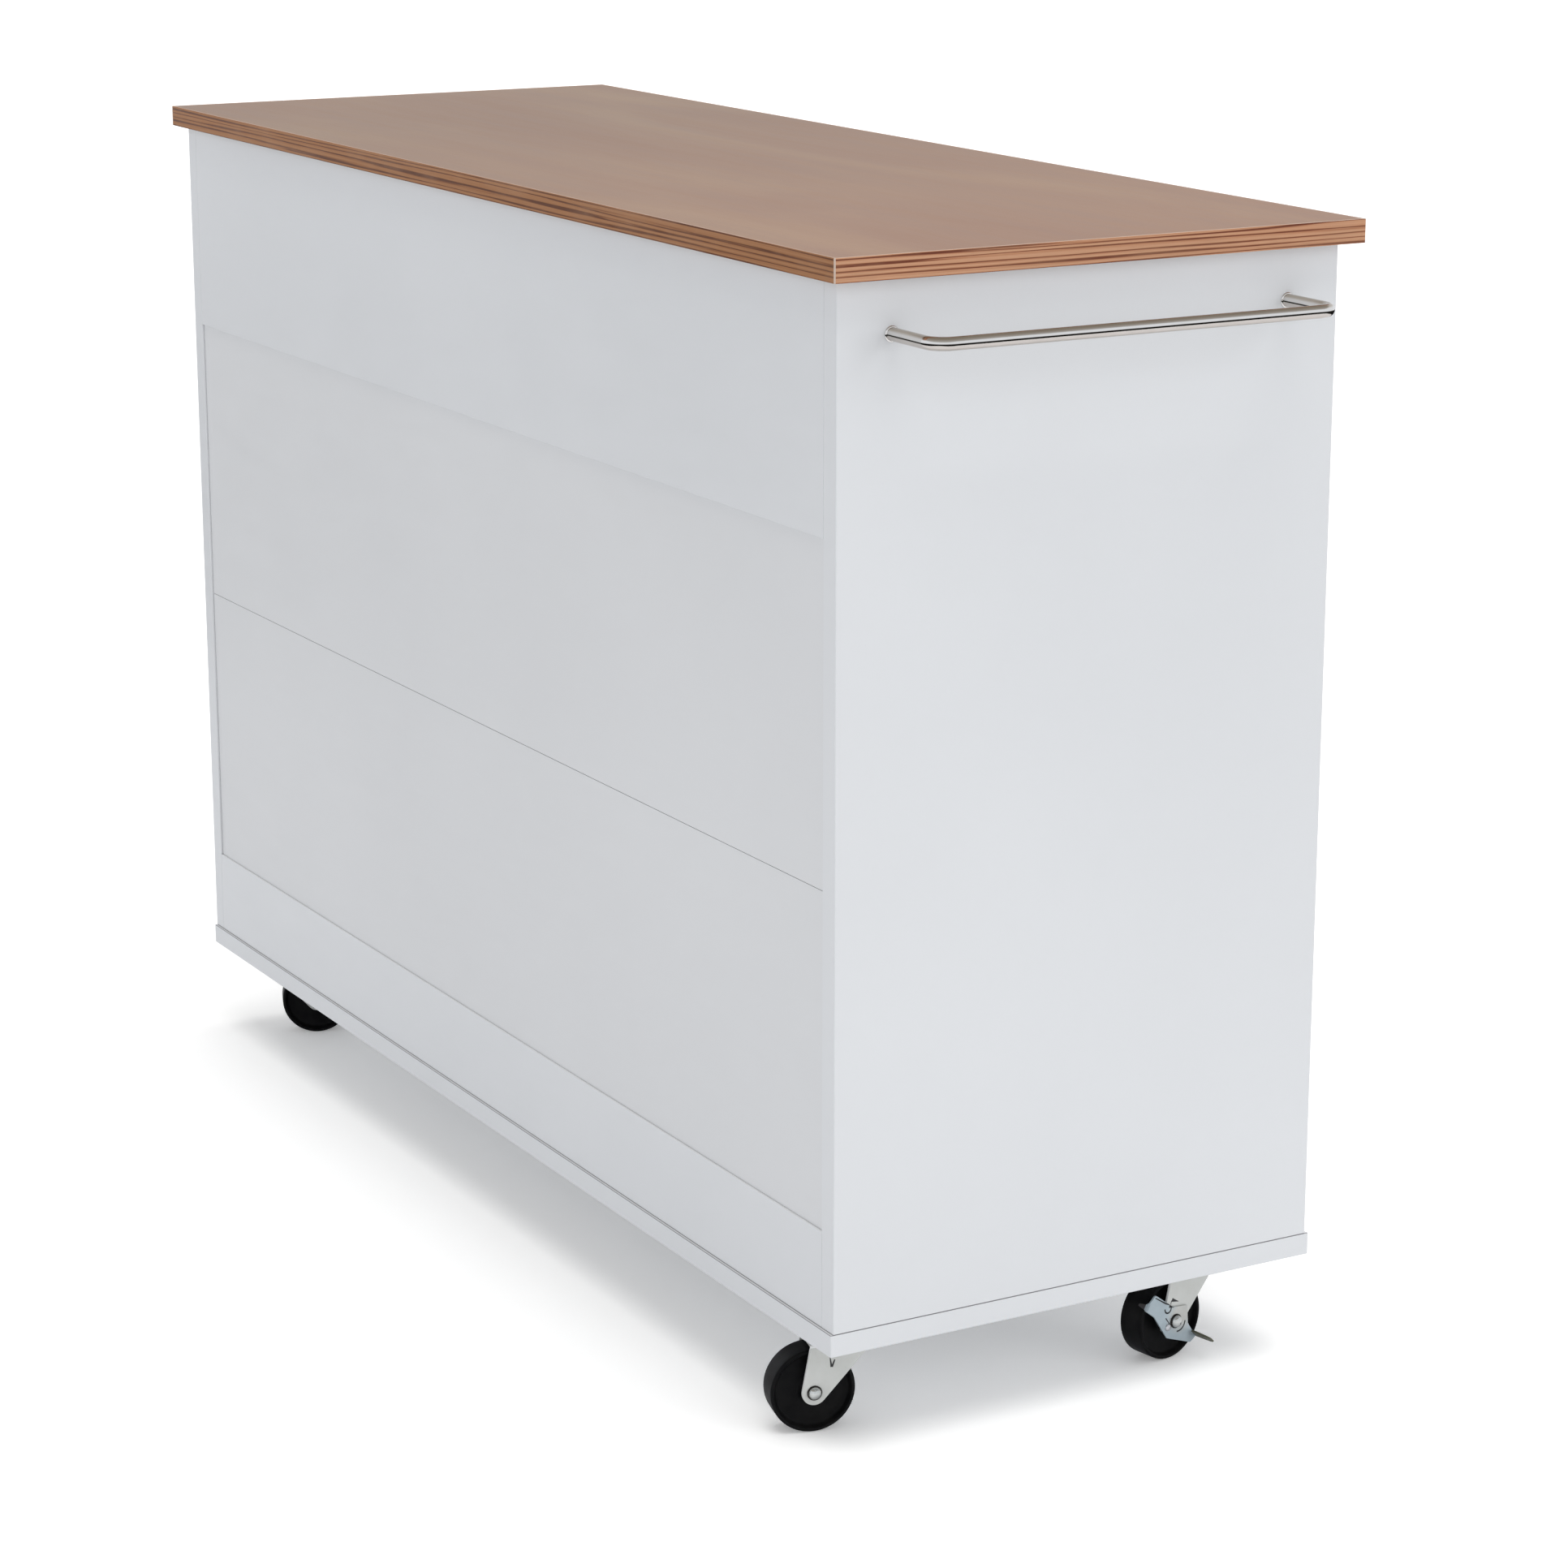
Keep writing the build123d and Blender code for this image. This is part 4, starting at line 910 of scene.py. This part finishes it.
def race_mesh():
    """The swivel's lower ball cup on the crown, with a rolled rim."""
    form = bmesh.new()
    skirt = ((-0.2, 15.0), (0.5, 14.6), (1.2, 13.4), (1.9, 12.9))
    cup = ((-0.8, 12.5), (-0.2, 12.1), (0.0, 11.4), (0.0, 5.2))
    profile = [(CROWN_TOP + above, radius) for above, radius in skirt]
    profile += [(RACE_TOP + above, radius) for above, radius in cup]
    lathe(form, profile, ROUND_SEGMENTS, Matrix.Translation((-TRAIL, 0, 0)))
    return finish_mesh(form, "fork_race")


def wheel_mesh():
    """A moulded wheel: rounded tread, thin rim lip, deep dished web and hub."""
    hub = [(HUB_HALF, BORE), (HUB_HALF, 7.6), (12.6, 8.3), (11.9, 8.8), (7.6, 10.9), (6.8, 11.7)]
    web = [(WEB_HALF, 12.8), (WEB_HALF, 27.0), (6.7, 28.4), (7.3, 29.3), (8.2, 29.8)]
    lip = [(11.2, 30.9), (11.7, 31.2), (TREAD_HALF, 31.6)]
    round_centre = WHEEL_RADIUS - TREAD_FALL - TREAD_ROUND
    tread = arc((TREAD_HALF - TREAD_ROUND, round_centre), TREAD_ROUND, 0, 90, 6)
    side = hub + web + lip + tread + [(TREAD_FLAT_HALF, WHEEL_RADIUS - FLOOR_GAP)]
    profile = side + [(-along, radius) for along, radius in reversed(side)]
    form = bmesh.new()
    lathe(form, profile, WHEEL_SEGMENTS, ACROSS)
    lathe(form, [(-HUB_HALF, BORE), (HUB_HALF, BORE)], WHEEL_SEGMENTS, ACROSS)
    return finish_mesh(form, "wheel")


def axle_mesh(name, head_in):
    """A domed axle bolt with a stepped rim, and a hexagon nut on the far leg."""
    form = bmesh.new()
    rim = head_in + BOLT_SHOULDER
    head = [(head_in, AXLE_RADIUS), (head_in, BOLT_HEAD_RADIUS), (rim - 0.3, BOLT_HEAD_RADIUS)]
    head += [(rim, BOLT_HEAD_RADIUS - 0.25), (rim, BOLT_DOME_RADIUS)]
    for angle in (0.12, 0.35, 0.6, 0.85, 1.1, 1.35):
        head.append((rim + BOLT_DOME_RISE * math.sin(angle), BOLT_DOME_RADIUS * math.cos(angle)))
    head.append((rim + BOLT_DOME_RISE, POINT))
    lathe(form, head, ROUND_SEGMENTS, ACROSS)
    tip = -FORK_OUT - NUT_THICK - BOLT_STUB
    shank = [(head_in, AXLE_RADIUS), (tip + BOLT_CHAMFER, AXLE_RADIUS)]
    shank += [(tip, BOLT_END_RADIUS), (tip, POINT)]
    lathe(form, shank, SHANK_SEGMENTS, ACROSS)
    corner = NUT_FLATS / math.sqrt(3)
    turns = [math.radians(60 * side) for side in range(6)]
    rows = []
    for along, share in ((0.0, 0.95), (0.4, 1.0), (4.4, 1.0), (NUT_THICK, 0.93), (NUT_THICK, 0.62)):
        reach = corner * share
        rows.append([(reach * math.cos(t), -FORK_OUT - along, reach * math.sin(t)) for t in turns])
    lay_grid(form, rows, close_columns=True)
    return finish_mesh(form, name, smooth_under=math.radians(30))


SHOE_ANGLE = 31.0
SHOE_IN = WHEEL_RADIUS + 2.0
SHOE_SPREAD = 5.0
SHOE_HALF = 3.2
SHOE_STEPS = 8
SHOE_CORNERS = (0.6, 0.8)
LEVER_TOP = ((29.2, 22.4), (23.0, 27.4), (2.6, 12.5), (-13.4, 10.2), (-14.6, -5.4))
LEVER_TOP_CORNER = 1.6
LEVER_LOW = ((-18.0, -23.2), (9.4, -12.6), (24.0, 8.8))
LEVER_LOW_CORNER = 2.4
LEVER_BEVEL = 0.45
TAB_START = (-19.0, -12.2)
TAB_END = (-25.2, -18.2)
TAB_CORNER = 0.6
TAB_THINNEST = 0.35
# The shoe runs in from the plate's outer face, and the tab out from it, as (reach, share of width).
SHOE_RUN = ((0.0, 1.0), (0.8, 0.9), (3.0, 0.66), (6.0, 0.50), (8.4, 0.38), (9.8, 0.22))
TAB_RUN = ((0.0, 1.0), (1.0, 1.0), (6.0, 0.97), (12.0, 0.90), (17.0, 0.78), (19.8, 0.62), (20.8, 0.45))
# The tab's section on one side, as (share of its half width, share of its thickness).
TAB_SECTION = ((-1, 0.35), (-0.94, 0.5), (0.94, 0.5), (1, 0.35))
# The lip runs in from the outer face as (reach, rise), and along the edge as (share, depth).
LIP_RUN = ((0.3, 0.0), (1.2, 0.25), (2.2, 0.4), (3.2, 0.45))
LIP_ALONG = ((0.0, 0.0), (0.12, 0.7), (0.5, 1.0), (0.88, 0.7), (1.0, 0.0))
LIP_START = 1.5
LIP_END = 9.5
LIP_SHEET = 1.2
LIP_LEAST = 0.3
# The rivet's head, as (past the lever, radius).
RIVET_HEAD = ((0.0, 2.0), (0.0, 3.0), (0.5, 2.95), (1.0, 2.5), (1.3, 1.6), (1.4, POINT))


def lever_shoe(form):
    """The shoe: a curved tongue that reaches in over the tread."""
    rings = []
    for inward, share in SHOE_RUN:
        spread = SHOE_SPREAD * share
        sweep = (SHOE_ANGLE - spread, SHOE_ANGLE + spread, SHOE_STEPS)
        outer = arc((0, 0), SHOE_IN + LEVER_SHEET, *sweep)
        inner = arc((0, 0), SHOE_IN, *sweep)
        rings.append([Vector((x, LEVER_OUT - inward, z)) for x, z in outer + inner[::-1]])
    loft(form, rings)


def lever_tab(form):
    """The foot tab: a tongue bent out from the plate, thinner and narrower towards its tip."""
    start, end = Vector(TAB_START), Vector(TAB_END)
    run = end - start
    ahead = run.normalized()
    normal = Vector((-ahead.y, ahead.x))
    middle = start + run / 2 + normal * LEVER_SHEET / 2
    section = TAB_SECTION + tuple((-side, -lift) for side, lift in TAB_SECTION)
    rings = []
    for outward, share in TAB_RUN:
        half = run.length / 2 * share
        thick = LEVER_SHEET * (TAB_THINNEST + (1 - TAB_THINNEST) * share)
        places = [middle + ahead * (side * half) + normal * (lift * thick) for side, lift in section]
        rings.append([Vector((at.x, LEVER_OUT + outward, at.y)) for at in places])
    loft(form, rings)


def lever_lip(form):
    """A lip along the plate's top edge, turned in beside the fork leg and deepest in its middle."""
    start, end = Vector(LEVER_TOP[1]), Vector(LEVER_TOP[2])
    ahead = (end - start).normalized()
    first = start + ahead * LIP_START
    last = start + ahead * LIP_END
    upper = []
    lower = []
    for inward, rise in LIP_RUN:
        over = []
        for share, depth in LIP_ALONG:
            at = first.lerp(last, share) + Vector((ahead.y, -ahead.x)) * rise * depth
            reach = inward * (LIP_LEAST + (1 - LIP_LEAST) * depth)
            over.append(Vector((at.x, LEVER_OUT - reach, at.y)))
        upper.append(over)
        lower.append([point - Vector((ahead.y, 0, -ahead.x)) * LIP_SHEET for point in over])
    lay_grid(form, upper + lower[::-1], close_rows=True)


def lever_mesh():
    """A stamped brake lever: a flat plate with a shoe and a lip bent in and a tab bent out."""
    turn = math.radians(SHOE_ANGLE)
    back = Vector((math.cos(turn), math.sin(turn)))
    along = Vector((-back.y, back.x))
    root = back * (SHOE_IN + LEVER_SHEET)
    shoe = (tuple(root - along * SHOE_HALF), tuple(root + along * SHOE_HALF))
    corners = [*shoe, *LEVER_TOP, TAB_START, TAB_END, *LEVER_LOW]
    radii = [*SHOE_CORNERS, *[LEVER_TOP_CORNER] * len(LEVER_TOP)]
    radii += [TAB_CORNER, TAB_CORNER, *[LEVER_LOW_CORNER] * len(LEVER_LOW)]
    form = bmesh.new()
    plate(form, round_corners(corners, radii), -LEVER_OUT, -LEVER_IN, LEVER_BEVEL)
    bmesh.ops.rotate(form, matrix=Matrix.Rotation(math.pi / 2, 3, "X"), verts=form.verts)
    lever_shoe(form)
    lever_tab(form)
    lever_lip(form)
    return finish_mesh(form, "brake_lever")


def rivet_mesh():
    """The brake lever's rivet: a low domed head on a shank through the fork leg."""
    form = bmesh.new()
    foot = FORK_OUT - FORK_SHEET + 0.1
    profile = [(foot, RIVET_HEAD[0][1])]
    profile += [(LEVER_OUT + BRAKE_PLAY + past, radius) for past, radius in RIVET_HEAD]
    pivot = Matrix.Translation((BRAKE_PIVOT[0], 0, BRAKE_PIVOT[1]))
    lathe(form, profile, RIVET_SEGMENTS, pivot @ ACROSS)
    return finish_mesh(form, "brake_rivet")


def add_casters():
    wheel = wheel_mesh()
    forks = {False: fork_mesh("fork", False), True: fork_mesh("fork_braked", True)}
    forks[True].materials.append(BRAKED_FORK)
    axles = {
        False: axle_mesh("axle", FORK_OUT),
        True: axle_mesh("axle_braked", LEVER_OUT + BRAKE_PLAY),
    }
    for axle in axles.values():
        axle.materials.append(BOLT_STEEL)
    race = race_mesh()
    lever = lever_mesh()
    rivet = rivet_mesh()
    for corner in CORNERS:
        place = caster_place(corner)
        braked = corner in BRAKED
        swivel = f"{corner}_caster"
        roller = f"{corner}_roller"
        brake = f"{corner}_brake"
        fork_node = f"{corner}_fork"
        axle_node = f"{corner}_axle"
        wheel_node = f"{corner}_wheel"
        pressed = add_piece(f"{fork_node}_pressed", forks[braked], "fork_paint", swivel, place, fork_node)
        thicken(pressed, FORK_SHEET, FORK_BEVEL)
        add_piece(f"{fork_node}_race", race, "fork_paint", swivel, place)
        add_piece(f"{axle_node}_bolt", axles[braked], "zinc_steel", swivel, place, axle_node)
        add_piece(f"{wheel_node}_moulded", wheel, "wheel_plastic", roller, place, wheel_node)
        if braked:
            lever_node = f"{corner}_brake_lever"
            add_piece(f"{corner}_lever_stamped", lever, "brake_zinc", brake, place, lever_node)
            add_piece(f"{corner}_brake_rivet", rivet, "zinc_steel", swivel, place)


add_bars()
add_casters()

# ---- Floor, light and camera -----------------------------

FLOOR_HALF = 60.0
FLOOR_GLOW = 0.20
BOUNCE_HEIGHT = -0.0005
FLAG_NEAR = 1.50
FLAG_FAR = 6.00
FLAG_HEIGHT = 0.002
SKY_STRENGTH = 0.90
SKY_BAND = (  # (height, colour): a cool band under a warm ceiling
    (0.0, (0.92, 0.95, 1.0)),
    (0.50, (0.92, 0.95, 1.0)),
    (0.62, (0.46, 0.44, 0.42)),
    (1.0, (0.42, 0.40, 0.37)),
)
CAMERA_PLACE = Vector((-3.103, 1.681, 1.295))
CAMERA_YAW = -29.36
CAMERA_DOWN = 14.76
CAMERA_LENS = 95.07
SENSOR = 36.0


def add_sheet(name, outline, faces, material):
    mesh = bpy.data.meshes.new(name)
    mesh.from_pydata(outline, [], faces)
    mesh.materials.append(material)
    sheet = bpy.data.objects.new(name, mesh)
    bpy.context.scene.collection.objects.link(sheet)
    sheet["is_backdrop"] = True
    return sheet


def rectangle(low, high, reach, height):
    """The corners of a level rectangle that reaches past a box on every side."""
    left, front = low[0] - reach, low[1] - reach
    right, back = high[0] + reach, high[1] + reach
    return [(left, front, height), (right, front, height), (right, back, height), (left, back, height)]


def add_floor():
    """A pale floor. The camera sees one sheet of it; a second, under it, bounces the light."""
    middle = (0, 0)
    look = Look("floor", roughness=0.9, specular=0.0)
    pale = look.ramp(look.noise(0.8, detail=3.0), (0.3, (0.985, 0.985, 0.98)), (0.7, (1.0, 1.0, 0.995)))
    look.surface.inputs["Emission Color"].default_value = (1.0, 1.0, 0.99, 1)
    look.surface.inputs["Emission Strength"].default_value = FLOOR_GLOW
    outline = rectangle(middle, middle, FLOOR_HALF, 0.0)
    seen = add_sheet("floor", outline, [(0, 1, 2, 3)], look.finish(pale))
    seen.visible_diffuse = False
    seen.visible_glossy = False
    seen.visible_shadow = False
    bounce = Look("floor_bounce", roughness=0.9, specular=0.0)
    cool = bounce.ramp(bounce.noise(0.8), (0.3, (0.84, 0.85, 0.87)), (0.7, (0.86, 0.87, 0.89)))
    outline = rectangle(middle, middle, FLOOR_HALF, BOUNCE_HEIGHT)
    under = add_sheet("floor_bounce", outline, [(0, 1, 2, 3)], bounce.finish(cool))
    under.visible_camera = False


def add_flag():
    """A dark strip laid round the cart for its polished metal to mirror, unseen by the camera."""
    low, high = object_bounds()
    inner = rectangle(low, high, FLAG_NEAR, FLAG_HEIGHT)
    outer = rectangle(low, high, FLAG_FAR, FLAG_HEIGHT)
    faces = [(k, (k + 1) % 4, 4 + (k + 1) % 4, 4 + k) for k in range(4)]
    look = Look("flag", roughness=0.9, specular=0.0)
    cloth = look.ramp(look.noise(400), (0.3, (0.010, 0.010, 0.010)), (0.7, (0.016, 0.016, 0.016)))
    flag = add_sheet("flag", inner + outer, faces, look.finish(cloth))
    flag.visible_camera = False
    flag.visible_diffuse = False
    flag.visible_shadow = False
    flag.visible_transmission = False


def add_world():
    """A studio with a bright cool band of soft boxes round it and a warmer, dimmer ceiling."""
    world = bpy.data.worlds.new("studio")
    bpy.context.scene.world = world
    world.use_nodes = True
    tree = world.node_tree
    sky = tree.nodes["Background"]
    direction = tree.nodes.new("ShaderNodeTexCoord").outputs["Generated"]
    height = tree.nodes.new("ShaderNodeSeparateXYZ")
    tree.links.new(direction, height.inputs[0])
    band = tree.nodes.new("ShaderNodeValToRGB")
    tree.links.new(height.outputs["Z"], band.inputs["Fac"])
    set_stops(band.color_ramp, SKY_BAND)
    tree.links.new(band.outputs["Color"], sky.inputs["Color"])
    sky.inputs["Strength"].default_value = SKY_STRENGTH


def add_sun(name, strength, towards, spread):
    """Soft light from far away: `towards` points from the cart to the light."""
    light = bpy.data.lights.new(name, "SUN")
    light.energy = strength
    light.angle = math.radians(spread)
    lamp = bpy.data.objects.new(name, light)
    lamp.rotation_mode = "QUATERNION"
    lamp.rotation_quaternion = (-Vector(towards)).to_track_quat("-Z", "Y")
    lamp.visible_glossy = False
    bpy.context.scene.collection.objects.link(lamp)


def add_camera():
    camera = bpy.data.cameras.new("camera")
    camera.lens = CAMERA_LENS
    camera.sensor_width = SENSOR
    camera.clip_end = 300
    view = bpy.data.objects.new("camera", camera)
    down = math.radians(CAMERA_DOWN)
    yaw = math.radians(CAMERA_YAW)
    ahead = Vector((math.cos(yaw) * math.cos(down), math.sin(yaw) * math.cos(down), -math.sin(down)))
    view.location = CAMERA_PLACE
    view.rotation_mode = "QUATERNION"
    view.rotation_quaternion = ahead.to_track_quat("-Z", "Y")
    bpy.context.scene.collection.objects.link(view)
    bpy.context.scene.camera = view


add_floor()
add_flag()
add_world()
add_sun("overhead_light", 1.75, (-0.10, -0.03, 1.0), 50)
add_sun("key_light", 0.26, (-0.72, -0.52, 0.36), 26)
add_sun("end_light", 0.24, (-0.85, -0.50, 0.04), 16)
add_camera()
bpy.context.scene.view_settings.view_transform = "Standard"
bpy.context.scene.view_settings.look = "None"
bpy.context.scene.view_settings.exposure = 0
bpy.context.scene.view_settings.gamma = 1
